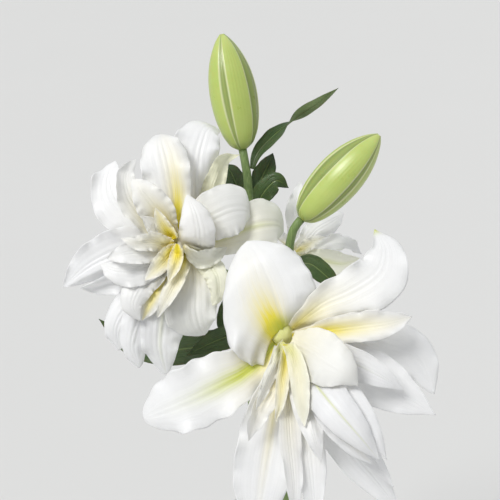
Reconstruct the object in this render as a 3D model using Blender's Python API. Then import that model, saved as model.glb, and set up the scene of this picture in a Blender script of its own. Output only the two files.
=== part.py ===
"""Two cut stems of double white lilies in a plain glazed vase: three open blooms, two buds and leaves.

Metres, +Z up, origin at the centre of the vase's foot. The blooms, buds and leaves are laid out in the
bouquet's own frame, in millimetres: x to the right, y up and z towards the front, tipped back by LEAN.
"""

import math

import bpy
import numpy as np
from mathutils import Matrix, Vector

MM = 0.001
LEAN = math.radians(20)
HEART_MM = (-14, 0, 466)  # the middle of the bouquet, above the vase's foot
BOUQUET = Matrix.Translation([c * MM for c in HEART_MM]) @ Matrix.Rotation(math.pi / 2 - LEAN, 4, "X")

# the vase
VASE_HEIGHT = 240
WALL = 5
RIM_RISE = 1.5
FLOOR = 8
FLOOR_CORNER = 3
VASE_STEPS = 40
# outer radius at each height, foot to lip
VASE_OUTLINE = [(0, 44), (3, 47), (30, 54), (80, 60), (130, 58), (180, 48), (212, 42), (234, 45), (240, 47)]

# petals and leaves are sheets: a grid along and across, relaxed at ALONG x ACROSS and built at half of it
ALONG, ACROSS = 16, 8
PETAL_THICKNESS = 0.7
LEAF_THICKNESS = 0.8
PETAL_GAP = 1.5  # along z, from one petal's middle surface to the next
RELAX_ROUNDS = 40
REACH = 12  # the farthest that one round may move a petal
CELL = 1.2  # size of the squares over which heights are compared
FINER = 4
# where each whorl of petals leaves the flower's end: radius round the axis and height along it
WHORLS = [(7.6, -6), (6.2, -4), (4.8, -2), (3.6, 0), (2.6, 2), (1.8, 4)]

# name: whorl, points after the base (x, y, z), half widths left and right, and changes to PETAL_SHAPE
PETAL_SHAPE = dict(face=(0, 0, 1), cup=(40, 12, -8), twist=0, claw=0.22, peak=0.5, point=0.8, wave=0.8,
                   waves=3, sweep=(0, 0), grow=0)

FRONT_BLOOM = dict(
    place=(25, -61, 62),
    axis=(0.3, -0.38, 0.87),
    petals=dict(
        # the six outer tepals and the one between the two lowest
        front_left=(0, [(-22, -17, 4), (-50, -33, 9), (-76, -45, 7), (-98, -54, -5)], (21, 24),
                    dict(cup=(36, 10, -20), wave=2.8, waves=3, peak=0.6, point=0.5, claw=0.3)),
        front_top_left=(1, [(-5, 14, 5), (-13, 36, 10), (-21, 55, 7), (-27, 67, -7)], (38, 31),
                        dict(cup=(24, -12, -34), wave=1.8, waves=2, peak=0.46, point=0.46, claw=0.5,
                             sweep=(1.1, 0.15))),
        front_top_right=(0, [(24, 24, 4), (45, 34, 10), (63, 48, 8), (66, 62, 2), (60, 75, -4)], (16, 21),
                         dict(cup=(36, 14, -14), wave=1.8, peak=0.6, point=0.8, face=(-0.2, 0.1, 1))),
        front_right_back=(0, [(40, 0, -5), (66, -2, -5), (88, -12, -8), (102, -38, -14)], (17, 16),
                          dict(cup=(30, -8, -16), peak=0.6, point=0.7, wave=1.4)),
        front_right_low=(1, [(38, -12, 1), (60, -25, 4), (81, -38, 4), (101, -51, 0)], (17, 20),
                         dict(cup=(40, 12, 20), peak=0.52, point=1.0)),
        front_low_right=(0, [(26, -50, -2), (45, -78, 0), (62, -98, -2), (78, -119, -8)], (12, 13),
                         dict(cup=(34, 14, 14), peak=0.58, point=0.9, wave=1.2)),
        front_bottom=(0, [(-4, -26, 1), (-10, -56, 5), (-15, -86, 3), (-19, -116, -3), (-20, -133, -8)],
                      (20, 22), dict(cup=(36, 10, 10), peak=0.58, point=0.7, wave=1.6)),
        # the middle whorls
        front_low_tip=(2, [(24, -38, 6), (46, -66, 12), (61, -84, 12), (72, -99, 8)], (9, 9),
                       dict(cup=(34, 22, 20), peak=0.55, point=0.9)),
        front_bottom_right=(1, [(7, -30, 6), (13, -62, 12), (17, -94, 12), (19, -124, 5)], (11, 11),
                            dict(cup=(40, 20, 20), peak=0.58, point=0.8)),
        front_bottom_narrow=(2, [(0, -28, 10), (1, -62, 18), (4, -92, 17), (6, -122, 8)], (8, 8),
                             dict(cup=(44, 30, 24), peak=0.55, point=0.8, face=(0.35, 0, 1))),
        front_left_boat=(2, [(-5, -16, 12), (-14, -34, 22), (-21, -50, 22), (-26, -67, 14)], (10, 10),
                         dict(cup=(60, 58, 40), peak=0.52, point=0.85, face=(0.5, -0.1, 1))),
        front_right_yellow=(2, [(26, 6, 8), (48, 9, 14), (68, 12, 16), (84, 16, 10)], (11, 11),
                            dict(cup=(50, 34, 30), peak=0.6, point=0.8, face=(0, 0.25, 1), wave=1.2)),
        front_right_inner=(3, [(30, -10, 14), (50, -17, 20), (65, -25, 20), (78, -33, 14)], (11, 11),
                           dict(cup=(34, 14, 20), peak=0.5, point=1.0)),
        front_bottom_inner=(3, [(8, -24, 16), (13, -45, 28), (18, -64, 30), (22, -80, 24)], (9.5, 9.5),
                            dict(cup=(30, -16, -10), peak=0.5, point=0.9)),
        # the heart, still half closed
        front_heart_low=(3, [(22, -34, 20), (34, -54, 30), (46, -70, 31), (56, -81, 26)], (13, 12),
                         dict(cup=(30, -34, -20), peak=0.55, point=0.9)),
        front_heart_side=(4, [(26, -26, 24), (44, -44, 36), (56, -62, 38), (65, -77, 31)], (12, 12),
                          dict(cup=(30, -36, -24), peak=0.5, point=0.9)),
        front_heart=(4, [(17, -26, 28), (32, -44, 43), (46, -60, 44), (60, -77, 34)], (15, 14),
                     dict(cup=(30, -36, -30), peak=0.48, point=0.9)),
        front_heart_top=(5, [(14, -6, 20), (26, -13, 36), (37, -20, 40), (46, -28, 34)], (19, 18),
                         dict(cup=(24, -28, -40), peak=0.48, point=0.75, claw=0.4)),
    ),
)

LEFT_BLOOM = dict(
    place=(-50, 6, 28),
    axis=(-0.25, -0.05, 0.97),
    petals=dict(
        left_top_back=(0, [(11, 30, -8), (12, 50, -4), (15, 69, -6), (20, 81, -14), (28, 80, -24)],
                       (20, 15), dict(cup=(36, 16, -16), wave=2.6, peak=0.6, point=0.5)),
        left_top_reverse=(0, [(20, 26, -12), (26, 44, -12), (32, 58, -14), (43, 62, -18)], (8, 8),
                          dict(cup=(30, 14, 10), wave=1.6, peak=0.45, point=0.9)),
        left_right_back=(0, [(24, 1, -4), (42, 7, -2), (59, 12, -3), (70, 12, -12), (74, 7, -22)],
                         (19, 19), dict(cup=(50, 8, -16), wave=1.8, peak=0.7, point=0.5)),
        left_right_low=(0, [(14, -15, -6), (21, -25, -4), (25, -37, -8)], (6, 8),
                        dict(cup=(40, 20, 6), peak=0.6, wave=1.4)),
        left_upper=(0, [(-16, 9, 0), (-32, 17, 3), (-44, 27, 3), (-49, 41, 0), (-45, 57, -6)], (17, 16),
                    dict(cup=(34, 20, 10), peak=0.52, point=0.75, wave=2.4)),
        left_far=(0, [(-18, -2, 2), (-38, -6, 6), (-59, -15, 6), (-81, -32, 2)], (15, 17),
                  dict(cup=(34, 28, 30), peak=0.5, point=0.85)),
        left_far_low=(0, [(-22, -22, -5), (-42, -29, -4), (-56, -32, -5), (-69, -33, -8)], (9, 9),
                      dict(cup=(30, 16, 10), wave=1.4)),
        left_low_outer=(0, [(-20, -28, 0), (-33, -43, 3), (-44, -60, 1), (-43, -77, -10)], (14, 12),
                        dict(cup=(30, -20, -30), wave=1.6, peak=0.58, point=0.5)),
        left_low_middle=(1, [(-17, -30, 5), (-27, -54, 9), (-32, -73, 5), (-28, -89, -5)], (14, 13),
                         dict(cup=(30, -24, -30), wave=1.6, peak=0.6, point=0.5)),
        left_low_inner=(0, [(-5, -28, 2), (-11, -52, 6), (-13, -74, 3), (-9, -94, -8)], (16, 15),
                        dict(cup=(34, -14, -24), wave=2, peak=0.6, point=0.55)),
        left_bottom_right=(1, [(10, -18, 1), (11, -35, 7), (11, -49, 8), (14, -61, 2), (18, -66, -8)],
                           (16, 21), dict(cup=(44, 10, -20), wave=1.8, peak=0.64, point=0.5)),
        left_top=(1, [(-3, 16, 3), (-5, 34, 9), (-9, 55, 9), (-13, 71, 2), (-13, 76, -8)], (18, 17),
                  dict(cup=(44, 18, -16), wave=1.8, peak=0.62, point=0.5)),
        left_right=(1, [(10, 7, 6), (24, 16, 14), (38, 22, 12), (48, 22, 4), (50, 18, -6)], (20, 18),
                    dict(cup=(34, -8, -16), peak=0.6, point=0.55)),
        # the middle whorls
        left_upper_folded=(2, [(-13, 6, 6), (-25, 18, 14), (-34, 32, 18), (-36, 46, 16), (-29, 57, 12)],
                           (12, 11), dict(cup=(50, 44, 30), wave=2, waves=2, point=0.75, face=(0.4, 0.1, 1))),
        left_upper_inner=(3, [(-7, 9, 8), (-14, 21, 18), (-22, 32, 22), (-31, 43, 20)], (12, 12),
                          dict(cup=(36, 12, -10), peak=0.55, point=0.7)),
        left_low_cream=(2, [(-7, -13, 9), (-14, -29, 15), (-20, -43, 15), (-25, -55, 10)], (10, 12),
                        dict(cup=(44, 34, 10), peak=0.55, point=0.75)),
        left_low_folded=(3, [(4, -14, 12), (-1, -28, 18), (-8, -41, 20), (-14, -53, 16)], (6, 7),
                         dict(cup=(50, 44, 30), peak=0.55, point=0.9)),
        left_low_curled=(3, [(-16, -20, 12), (-27, -33, 20), (-31, -45, 20), (-26, -55, 14)], (11, 12),
                         dict(cup=(30, -24, -30), peak=0.58, point=0.7)),
        left_bunch_low=(2, [(-13, -11, 8), (-29, -19, 18), (-42, -20, 20), (-54, -16, 14)], (13, 11),
                        dict(cup=(30, -20, -10), peak=0.54, point=0.75)),
        left_bunch_top=(3, [(-11, -4, 10), (-26, -7, 22), (-38, -9, 26), (-48, -12, 22)], (10, 10),
                        dict(cup=(44, 40, 30), peak=0.52, point=0.75)),
        left_heart=(4, [(10, -8, 18), (15, 3, 29), (13, 17, 32), (7, 32, 26)], (15, 13),
                    dict(cup=(30, -26, -26), peak=0.5, point=0.7, claw=0.4, face=(0.2, -0.1, 1))),
    ),
)

BACK_BLOOM = dict(
    place=(32, -2, -34),
    axis=(0.45, 0.25, 0.6),
    petals=dict(
        back_up=(0, [(0, 14, 0), (0, 30, 2), (3, 43, 0), (6, 54, -6)], (6, 6), dict(cup=(30, 30, 30))),
        back_behind=(0, [(-8, 8, -10), (-16, 18, -22), (-20, 30, -34), (-20, 42, -44)], (12, 12),
                     dict(cup=(30, 6, -10), face=(0.6, 0.4, 0.6))),
        back_right_up=(1, [(10, 9, 0), (18, 17, 4), (28, 23, 2), (38, 29, -8)], (10, 9),
                       dict(cup=(30, -10, -20), peak=0.6)),
        back_right=(0, [(16, 2, -4), (28, 6, 0), (40, 6, 2), (51, -1, -2)], (8, 6),
                    dict(cup=(30, 20, 20), peak=0.6, face=(0, 0.6, 0.8))),
        back_right_low=(1, [(10, -3, 4), (23, -6, 10), (37, -8, 12), (49, -4, 8)], (9, 9),
                        dict(cup=(30, 14, -10), peak=0.6, wave=1.4)),
        back_low=(0, [(4, -12, -10), (10, -26, -18), (18, -40, -26), (24, -52, -38)], (12, 12),
                  dict(cup=(30, 6, -16), face=(0.4, 0.6, 0.6))),
    ),
)

# name: points of the middle line, half widths, shape
LEAF_SHAPE = dict(PETAL_SHAPE, cup=(40, 20, 14), claw=0.35, peak=0.4, point=0.9, wave=0)
LEAVES = dict(
    leaf_twisted=([(1.5, 59, -12), (4, 68, -13), (15, 81.5, -17), (25, 90, -20), (35, 98, -20),
                   (50, 108, -20), (65, 119, -22)], (6.5, 6.5),
                  dict(twist=-160, claw=0.25, peak=0.4, face=(-0.6, 0.8, 0.1))),
    leaf_top_left=([(-6.9, 40, -16), (-10, 48, -21), (-14, 57, -26), (-19, 64, -34)], (8, 8), dict()),
    leaf_top_right=([(3.6, 42, -17.4), (8, 52, -22), (13, 62, -27), (17, 72, -34)], (8, 8), dict()),
    leaf_curled=([(4.8, 32, -11), (11, 43, -4), (19, 50, -1), (28, 45, -6)], (8, 8),
                 dict(cup=(20, -20, -20), wave=1.0, waves=2)),
    leaf_under_back=([(31.7, -10, -5), (43, -10, -3), (54, -18, -1), (66, -30, -4)], (8, 8),
                     dict(cup=(40, 30, 20))),
    leaf_far_left=([(-5, -60, -34), (-50, -74, -42), (-90, -70, -44), (-114, -52, -52)], (12, 12), dict()),
    leaf_middle=([(-6.4, -31, -24), (-13, -42, -25), (-18, -54, -27), (-20, -65, -30)], (9, 9), dict()),
    leaf_low=([(-3.3, -57, -28.8), (-14, -62, -14), (-30, -68, -4), (-46, -76, 2)], (9, 9), dict()),
    leaf_stem_right=([(28.1, -120, -39.2), (37, -125, -66), (44, -138, -94), (47, -160, -122)], (11, 11),
                     dict()),
)

# base and tip of each bud, its greatest radius and its turn about its own axis
BUDS = dict(
    bud_upright=((-5.5, 74, -12), (-20.4, 156, -4), 17, 20),
    bud_leaning=((37, 22.6, 14), (91, 81, 24), 16.5, 75),
)
# radius of a bud, as a share of its greatest, at shares of its length
BUD_OUTLINE = [(0, 0.2), (0.03, 0.42), (0.1, 0.66), (0.22, 0.87), (0.4, 1), (0.58, 0.98), (0.74, 0.82),
               (0.87, 0.56), (0.96, 0.28), (1, 0.1)]
BUD_SIDES = 18
BUD_LOBE = 0.035  # how far the three outer tepals swell

# each stem: its lower part in the vase's own frame, its upper part in the bouquet's frame up to the bud
# that it ends in, and its side stalks, each from inside the stem to the end of a bloom
STEMS = dict(
    stem_left=dict(
        low=[(22, -10, 9.7), (7, 9, 112), (-8, 28, 212)],
        high=[(2, -98, -38), (0, -56, -32), (0, -16, -18), (-0.5, 22, -13), (-1, 40, -14), (-2, 54, -14),
              (-3.7, 64.2, -13), (-5.4, 73.4, -12.1)],
        stalks=[[(0, -22, -20), (-18, -17, -16), (-36, -4, -8), (-45, 4.5, 4), (-47.4, 6.5, 18)]],
    ),
    stem_right=dict(
        low=[(-22, 10, 9.7), (-6, -9, 112), (10, -27.5, 212)],
        high=[(27, -98, -30), (28, -60, -20), (28, -26, -10), (28, -4, 0), (29, 7, 7.5), (32, 16.5, 12.8),
              (36.3, 21.8, 13.8)],
        stalks=[
            [(28, -58, -19.5), (23, -48, 4), (17, -46, 28), (18.4, -52.6, 42.4), (21.8, -56.9, 52.6)],
            [(28, -30, -11), (22, -22, -30), (20.8, -13, -42), (23.6, -6.7, -45), (26, -5.3, -42)],
        ],
    ),
)
STEM_STEPS = 400
STEM_RINGS = 26
STEM_SHARES = (0, 0.55, 0.8, 1)
STEM_RADII = (5.5, 4.4, 3.6, 3)
STALK_SHARES = (0, 0.7, 0.88, 1)
STALK_RADII = (3, 3, 4, 7)

COLOURS = dict(
    petal=((0.9, 0.89, 0.87, 1), 0.5),
    leaf=((0.08, 0.16, 0.04, 1), 0.45),
    stem=((0.2, 0.33, 0.09, 1), 0.5),
    bud=((0.46, 0.58, 0.16, 1), 0.4),
    glaze=((0.16, 0.19, 0.2, 1), 0.2),
)


def make_materials():
    made = {}
    for name, (colour, roughness) in COLOURS.items():
        material = bpy.data.materials.new(name)
        material.use_nodes = True
        shader = material.node_tree.nodes["Principled BSDF"]
        shader.inputs["Base Color"].default_value = colour
        shader.inputs["Roughness"].default_value = roughness
        shader.inputs["Metallic"].default_value = 0
        made[name] = material
    return made


def add_object(name, points, faces, material, parent=None):
    """A mesh object from points in millimetres in its parent's frame."""
    mesh = bpy.data.meshes.new(name)
    mesh.from_pydata([tuple(p) for p in np.asarray(points) * MM], [], faces)
    mesh.materials.append(material)
    mesh.shade_smooth()
    made = bpy.data.objects.new(name, mesh)
    bpy.context.scene.collection.objects.link(made)
    made.parent = parent
    return made


def smooth_line(points, count):
    """count evenly spaced points on a smooth curve through the given ones."""
    points = np.asarray(points, float)
    knots = np.concatenate([[0], np.cumsum(np.linalg.norm(np.diff(points, axis=0), axis=1))])
    slopes = np.gradient(points, knots, axis=0)
    steps = np.linspace(0, knots[-1], 40 * len(points))
    span = np.clip(np.searchsorted(knots, steps, side="right") - 1, 0, len(points) - 2)
    width = (knots[span + 1] - knots[span])[:, None]
    u = (steps[:, None] - knots[span][:, None]) / width
    curve = (
        (2 * u**3 - 3 * u**2 + 1) * points[span]
        + (u**3 - 2 * u**2 + u) * width * slopes[span]
        + (3 * u**2 - 2 * u**3) * points[span + 1]
        + (u**3 - u**2) * width * slopes[span + 1]
    )
    run = np.concatenate([[0], np.cumsum(np.linalg.norm(np.diff(curve, axis=0), axis=1))])
    even = np.linspace(0, run[-1], count)
    return np.stack([np.interp(even, run, curve[:, k]) for k in range(3)], axis=1)


def unit(vectors):
    return vectors / np.linalg.norm(vectors, axis=-1, keepdims=True)


def frames_along(line, face, twist):
    """Tangent, side and face directions at each point, carried out from the middle, plus a twist."""
    tangents = unit(np.gradient(line, axis=0))
    count = len(line)
    middle = count // 2
    normals = np.zeros_like(line)

    def settle(at, before):
        across = before - before.dot(tangents[at]) * tangents[at]
        return across / np.linalg.norm(across)

    normals[middle] = settle(middle, unit(np.asarray(face, float)))
    for at in range(middle + 1, count):
        normals[at] = settle(at, normals[at - 1])
    for at in range(middle - 1, -1, -1):
        normals[at] = settle(at, normals[at + 1])
    sides = np.cross(tangents, normals)
    turn = np.radians(twist) * np.tanh(5 * np.linspace(-0.5, 0.5, count))[:, None] / 2
    turned = normals * np.cos(turn) + sides * np.sin(turn)
    return tangents, np.cross(tangents, turned), turned


def sheet_grid(line_points, halves, shape, along, across):
    """The middle surface of a petal or leaf as an (along + 1) x (across + 1) grid of points."""
    line = smooth_line(line_points, along + 1)
    tangents, sides, normals = frames_along(line, shape["face"], shape["twist"])
    t = np.linspace(0, 1, along + 1)[:, None]
    v = np.linspace(-1, 1, across + 1)[None, :]
    rise = shape["claw"] + (1 - shape["claw"]) * np.sin(math.pi / 2 * np.clip(t / shape["peak"], 0, 1))
    past = np.clip((t - shape["peak"]) / (1 - shape["peak"]), 0, 1)
    fall = np.maximum((1 - past**2) ** shape["point"], 0.05)
    half = np.where(v < 0, halves[0], halves[1]) * rise * fall
    cup = np.radians(np.interp(t, (0, 0.5, 1), shape["cup"]))
    cup = np.where(np.abs(cup) < 0.02, 0.02, cup)
    lateral = half * np.sin(cup * v) / cup
    lift = half * (1 - np.cos(cup * v)) / cup
    ripple = np.sin(2 * math.pi * shape["waves"] * t + shape["grow"] + (v > 0) * 1.7)
    lift = lift + shape["wave"] * np.abs(v) ** 3 * ripple * np.sin(math.pi * t) ** 0.5
    back = -np.where(v < 0, shape["sweep"][0], shape["sweep"][1]) * np.abs(v) ** 2 * half * (1 - t)
    return (
        line[:, None]
        + lateral[..., None] * sides[:, None]
        + lift[..., None] * normals[:, None]
        + back[..., None] * tangents[:, None]
    )


def grid_faces(along, across):
    """Quads of a grid, turned so that their normals point out of the sheet's face."""
    row = across + 1
    return [
        (i * row + j, i * row + j + 1, (i + 1) * row + j + 1, (i + 1) * row + j)
        for i in range(along)
        for j in range(across)
    ]


def petal_base(axis, whorl, toward):
    """Where a petal leaves the flower's end: on its whorl's ring, on the side that the petal goes to."""
    radius, height = WHORLS[whorl]
    axis = unit(np.asarray(axis, float))
    out = np.asarray(toward, float)
    out = unit(out - out.dot(axis) * axis)
    return radius * out + height * axis


def blur(field):
    """One pass of a 1-2-1 average along both ways of a grid."""
    for way in (0, 1):
        before = np.concatenate([field.take([0], way), field.take(range(field.shape[way] - 1), way)], way)
        after = np.concatenate([field.take(range(1, field.shape[way]), way), field.take([-1], way)], way)
        field = (before + 2 * field + after) / 4
    return field


def spread(count):
    """Weights that turn a row of count + 1 values into FINER times as many by straight interpolation."""
    places = np.linspace(0, count, FINER * count + 1)[:, None]
    return np.clip(1 - np.abs(places - np.arange(count + 1)), 0, 1)


def height_map(cells, heights, low_cell, shape, highest):
    """The highest or lowest point of a sheet over each cell, spread to the neighbouring cells."""
    empty = -1e6 if highest else 1e6
    pick = np.maximum if highest else np.minimum
    made = np.full((shape[0] + 2, shape[1] + 2), empty)
    pick.at(made, (cells[:, 0] - low_cell[0] + 1, cells[:, 1] - low_cell[1] + 1), heights)
    for way in (0, 1):
        made = pick(made, pick(np.roll(made, 1, way), np.roll(made, -1, way)))
    return made


def relax(sheets, fixed):
    """Moves sheets along z until each lies PETAL_GAP in front of those that come before it in the list."""
    sheets = [np.array(s) for s in sheets]
    spreads = [(spread(s.shape[0] - 1), spread(s.shape[1] - 1)) for s in sheets]
    fine = [np.einsum("ai,bj,ijk->abk", u, v, s) for (u, v), s in zip(spreads, sheets)]
    cells = [np.floor(f[..., :2].reshape(-1, 2) / CELL).astype(int) for f in fine]
    lows = [c.min(0) for c in cells]
    shapes = [c.max(0) - c.min(0) + 1 for c in cells]
    order = range(len(sheets))
    pairs = [
        (a, b)
        for a in order
        for b in range(a + 1, len(sheets))
        if not (fixed[a] and fixed[b])
        and (lows[a] <= lows[b] + shapes[b]).all()
        and (lows[b] <= lows[a] + shapes[a]).all()
    ]
    for _ in range(RELAX_ROUNDS):
        heights = [np.einsum("ai,bj,ij->ab", u, v, s[..., 2]).ravel() for (u, v), s in zip(spreads, sheets)]
        tops = [height_map(cells[k], heights[k], lows[k], shapes[k], True) for k in order]
        bottoms = [height_map(cells[k], heights[k], lows[k], shapes[k], False) for k in order]
        rises = [np.zeros_like(h) for h in heights]
        drops = [np.zeros_like(h) for h in heights]
        for a, b in pairs:
            share = 1 if fixed[a] or fixed[b] else 0.5
            for mine, other, maps, moves, sign in ((b, a, tops, rises, 1), (a, b, bottoms, drops, -1)):
                if fixed[mine]:
                    continue
                at = cells[mine] - lows[other] + 1
                inside = (at >= 0).all(1) & (at < np.array(maps[other].shape)).all(1)
                level = maps[other][tuple(at[inside].T)]
                push = sign * (level - heights[mine][inside]) + PETAL_GAP
                push = np.where(np.abs(level) > 1e5, 0, np.clip(push, 0, REACH)) * share
                moves[mine][inside] = np.maximum(moves[mine][inside], push)
        for k, s in enumerate(sheets):
            if fixed[k]:
                continue
            (u, v), shape = spreads[k], fine[k].shape[:2]
            move = (rises[k] - drops[k]).reshape(shape)
            move = (u.T @ move @ v) / (u.sum(0)[:, None] * v.sum(0)[None, :])
            s[..., 2] += 0.5 * (move + blur(blur(move)))
    return sheets


def bloom_sheets(bloom):
    """Each petal's grid in the bouquet's frame, outermost first."""
    made = {}
    for number, (name, (whorl, points, halves, changes)) in enumerate(bloom["petals"].items()):
        shape = dict(PETAL_SHAPE, grow=number * 1.3, **changes)
        line = [petal_base(bloom["axis"], whorl, points[0]), *points]
        made[name] = sheet_grid(line, halves, shape, ALONG, ACROSS) + np.array(bloom["place"])
    return made


def add_sheet(name, grid, thickness, material, parent):
    """A thin closed solid on a grid's every second row and column."""
    coarse = grid[::2, ::2]
    along, across = coarse.shape[0] - 1, coarse.shape[1] - 1
    made = add_object(name, coarse.reshape(-1, 3), grid_faces(along, across), material, parent)
    solid = made.modifiers.new("thickness", "SOLIDIFY")
    solid.thickness = thickness * MM
    solid.offset = 0
    return made


def build_sheets(materials, frame):
    """All petals and leaves, moved clear of each other and of the stalks that they grow from."""
    leaves = {
        name: sheet_grid(points, halves, dict(LEAF_SHAPE, **changes), ALONG, ACROSS)
        for name, (points, halves, changes) in LEAVES.items()
    }
    stalks = {f"stalk {k}": tube_rings(line, radii) for k, (line, radii) in enumerate(bouquet_stalks())}
    layers = dict(stalks)
    for bloom in (BACK_BLOOM, LEFT_BLOOM, FRONT_BLOOM):
        layers.update(bloom_sheets(bloom))
    grids = relax(list(layers.values()), [name in stalks for name in layers])
    for name, grid in zip(layers, grids):
        if name not in stalks:
            add_sheet(name, grid, PETAL_THICKNESS, materials["petal"], frame)
    for name, grid in leaves.items():
        add_sheet(name, grid[:, ::2], LEAF_THICKNESS, materials["leaf"], frame)


def tube_rings(line, radii, sides=8):
    """Points round a line, one ring for each of its points, the first repeated at the end of each ring."""
    _, across, up = frames_along(line, (0.2, 0.1, 1), 0)
    angles = np.linspace(0, 2 * math.pi, sides + 1)[:, None]
    return np.stack([
        centre + radius * (np.cos(angles) * x + np.sin(angles) * y)
        for centre, radius, x, y in zip(line, radii, across, up)
    ])


def tube(rings):
    """Points and faces of a closed tube from its rings."""
    rings = rings[:, :-1]
    count, sides = rings.shape[:2]
    faces = [
        (i * sides + j, (i + 1) * sides + j, (i + 1) * sides + (j + 1) % sides, i * sides + (j + 1) % sides)
        for i in range(count - 1)
        for j in range(sides)
    ]
    faces.append(tuple(range(sides)))
    faces.append(tuple((count - 1) * sides + j for j in reversed(range(sides))))
    return rings.reshape(-1, 3), faces


def to_vase(points):
    """Points of the bouquet's frame in the vase's own, in millimetres."""
    return [np.array(BOUQUET @ (Vector(p) * MM)) / MM for p in points]


def bouquet_stalks():
    """The side stalks' lines and radii, in the bouquet's frame."""
    return [
        (smooth_line(points, 9), np.interp(np.linspace(0, 1, 9), STALK_SHARES, STALK_RADII))
        for stem in STEMS.values()
        for points in stem["stalks"]
    ]


def build_stems(materials):
    """Each stem with its stalks as one grown piece: the stalks are joined to it by Boolean unions."""
    stalks = iter(bouquet_stalks())
    for name, stem in STEMS.items():
        line = smooth_line([*stem["low"], *to_vase(stem["high"])], STEM_STEPS + 1)
        shares = np.linspace(0, 1, STEM_RINGS) ** 0.6  # closest together in the bends at the top
        radii = np.interp(shares, STEM_SHARES, STEM_RADII)
        rings = tube_rings(line[np.round(STEM_STEPS * shares).astype(int)], radii)
        trunk = add_object(name, *tube(rings), materials["stem"])
        for number in range(len(stem["stalks"])):
            rings = tube_rings(*next(stalks))
            stalk = add_object(f"{name}_stalk_{number + 1}", *tube(rings), materials["stem"])
            stalk.matrix_world = BOUQUET
            stalk.hide_render = True
            stalk.display_type = "WIRE"
            join = trunk.modifiers.new(f"stalk {number + 1}", "BOOLEAN")
            join.operation = "UNION"
            join.object = stalk


def build_buds(materials, frame):
    """A bud is a turned spindle that swells over its three outer tepals."""
    shares = np.array([share for share, _ in BUD_OUTLINE])
    outline = np.array([radius for _, radius in BUD_OUTLINE])
    angles = np.linspace(0, 2 * math.pi, BUD_SIDES + 1)
    for name, (base, tip, radius, turn) in BUDS.items():
        base, tip = np.asarray(base, float), np.asarray(tip, float)
        line = base + shares[:, None] * (tip - base)
        rings = tube_rings(line, radius * outline, BUD_SIDES)
        swell = 1 + BUD_LOBE * np.cos(3 * (angles - math.radians(turn)))
        rings = line[:, None] + (rings - line[:, None]) * swell[None, :, None]
        add_object(name, *tube(rings), materials["bud"], frame)


def build_vase(materials):
    """A turned pot: the outside from foot to lip, over the rounded rim and down the inside to the floor."""
    outside = smooth_line([(r, 0, z) for z, r in VASE_OUTLINE], 12)[:, [0, 2]]
    inside = [(r - WALL, z) for r, z in outside[::-1] if z > FLOOR + FLOOR_CORNER]
    rim = [(VASE_OUTLINE[-1][1] - WALL / 2, VASE_HEIGHT + RIM_RISE)]
    profile = [*map(tuple, outside), *rim, *inside, (inside[-1][0] - FLOOR_CORNER, FLOOR)]
    count = len(profile)
    points = [
        (r * math.cos(a), r * math.sin(a), z)
        for a in np.linspace(0, 2 * math.pi, VASE_STEPS, endpoint=False)
        for r, z in profile
    ]
    faces = [
        (i * count + j, after * count + j, after * count + j + 1, i * count + j + 1)
        for i, after in zip(range(VASE_STEPS), [*range(1, VASE_STEPS), 0])
        for j in range(count - 1)
    ]
    faces.append(tuple(i * count for i in reversed(range(VASE_STEPS))))
    faces.append(tuple(i * count + count - 1 for i in range(VASE_STEPS)))
    add_object("vase", points, faces, materials["glaze"])


def main():
    for old in list(bpy.data.objects):
        bpy.data.objects.remove(old)
    materials = make_materials()
    frame = bpy.data.objects.new("bouquet", None)
    bpy.context.scene.collection.objects.link(frame)
    frame.matrix_world = BOUQUET
    build_vase(materials)
    build_stems(materials)
    build_sheets(materials, frame)
    build_buds(materials, frame)


main()
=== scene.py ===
import math

import bpy
import numpy as np
from mathutils import Matrix, Vector


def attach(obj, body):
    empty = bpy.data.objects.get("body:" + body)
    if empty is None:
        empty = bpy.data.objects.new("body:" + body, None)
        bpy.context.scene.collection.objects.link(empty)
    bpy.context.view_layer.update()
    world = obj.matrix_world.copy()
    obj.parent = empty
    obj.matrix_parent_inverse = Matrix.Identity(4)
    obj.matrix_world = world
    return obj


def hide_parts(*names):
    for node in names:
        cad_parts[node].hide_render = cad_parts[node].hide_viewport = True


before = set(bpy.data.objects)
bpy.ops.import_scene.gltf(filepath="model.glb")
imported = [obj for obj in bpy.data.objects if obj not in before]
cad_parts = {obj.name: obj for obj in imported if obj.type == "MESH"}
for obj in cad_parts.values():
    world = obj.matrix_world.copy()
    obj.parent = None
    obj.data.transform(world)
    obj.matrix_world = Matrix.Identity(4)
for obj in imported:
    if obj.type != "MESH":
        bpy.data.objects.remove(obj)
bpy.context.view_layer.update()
print("frame loaded")

# the bouquet is laid out in millimetres in its own frame: x to the right, y up, z towards the front
mm = 0.001
bouquet = dict(lean=20, heart=(-14, 0, 466))
bouquetToRow = Matrix.Translation([c * mm for c in bouquet["heart"]]) @ Matrix.Rotation(
    math.pi / 2 - math.radians(bouquet["lean"]), 4, "X"
)

# each petal: its whorl, points of its middle line, half widths, and what differs from the plain petal
petalPlain = dict(
    face=(0, 0, 1), twist=0, cup=(40, 12, -8),  # degrees each half bends at the base, middle and tip
    claw=0.22, peak=0.5, point=0.8,  # width at the base, place of the greatest width, how pointed the tip is
    wave=0.8, waves=3, grow=0,  # height in mm, number and start of the waves along the margins
    sweep=(0, 0),  # how far each margin reaches back at the base
    roll=(0, 0), rollFrom=0.3,  # degrees that each margin turns over, from this share of the length on
    ruffle=1.0, ruffles=4.4,  # height in mm and number of the margin's frills
    scallop=0.012,  # how uneven the outline is
    rib=0.7, ribWidth=0.09,  # depth of the groove on each side of the midrib, and where it lies
    yellow=0.35, reach=0.16, spread=0.9,  # warm colour at the throat: strength, length and width
    lean=0.0,  # how far that colour lies to one side
    green=0.0, greenReach=0.5, greenSpread=0.25,  # green along the midrib
    tip=0.0,  # green at the tip
    cream=0.0,  # all over
)

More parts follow.
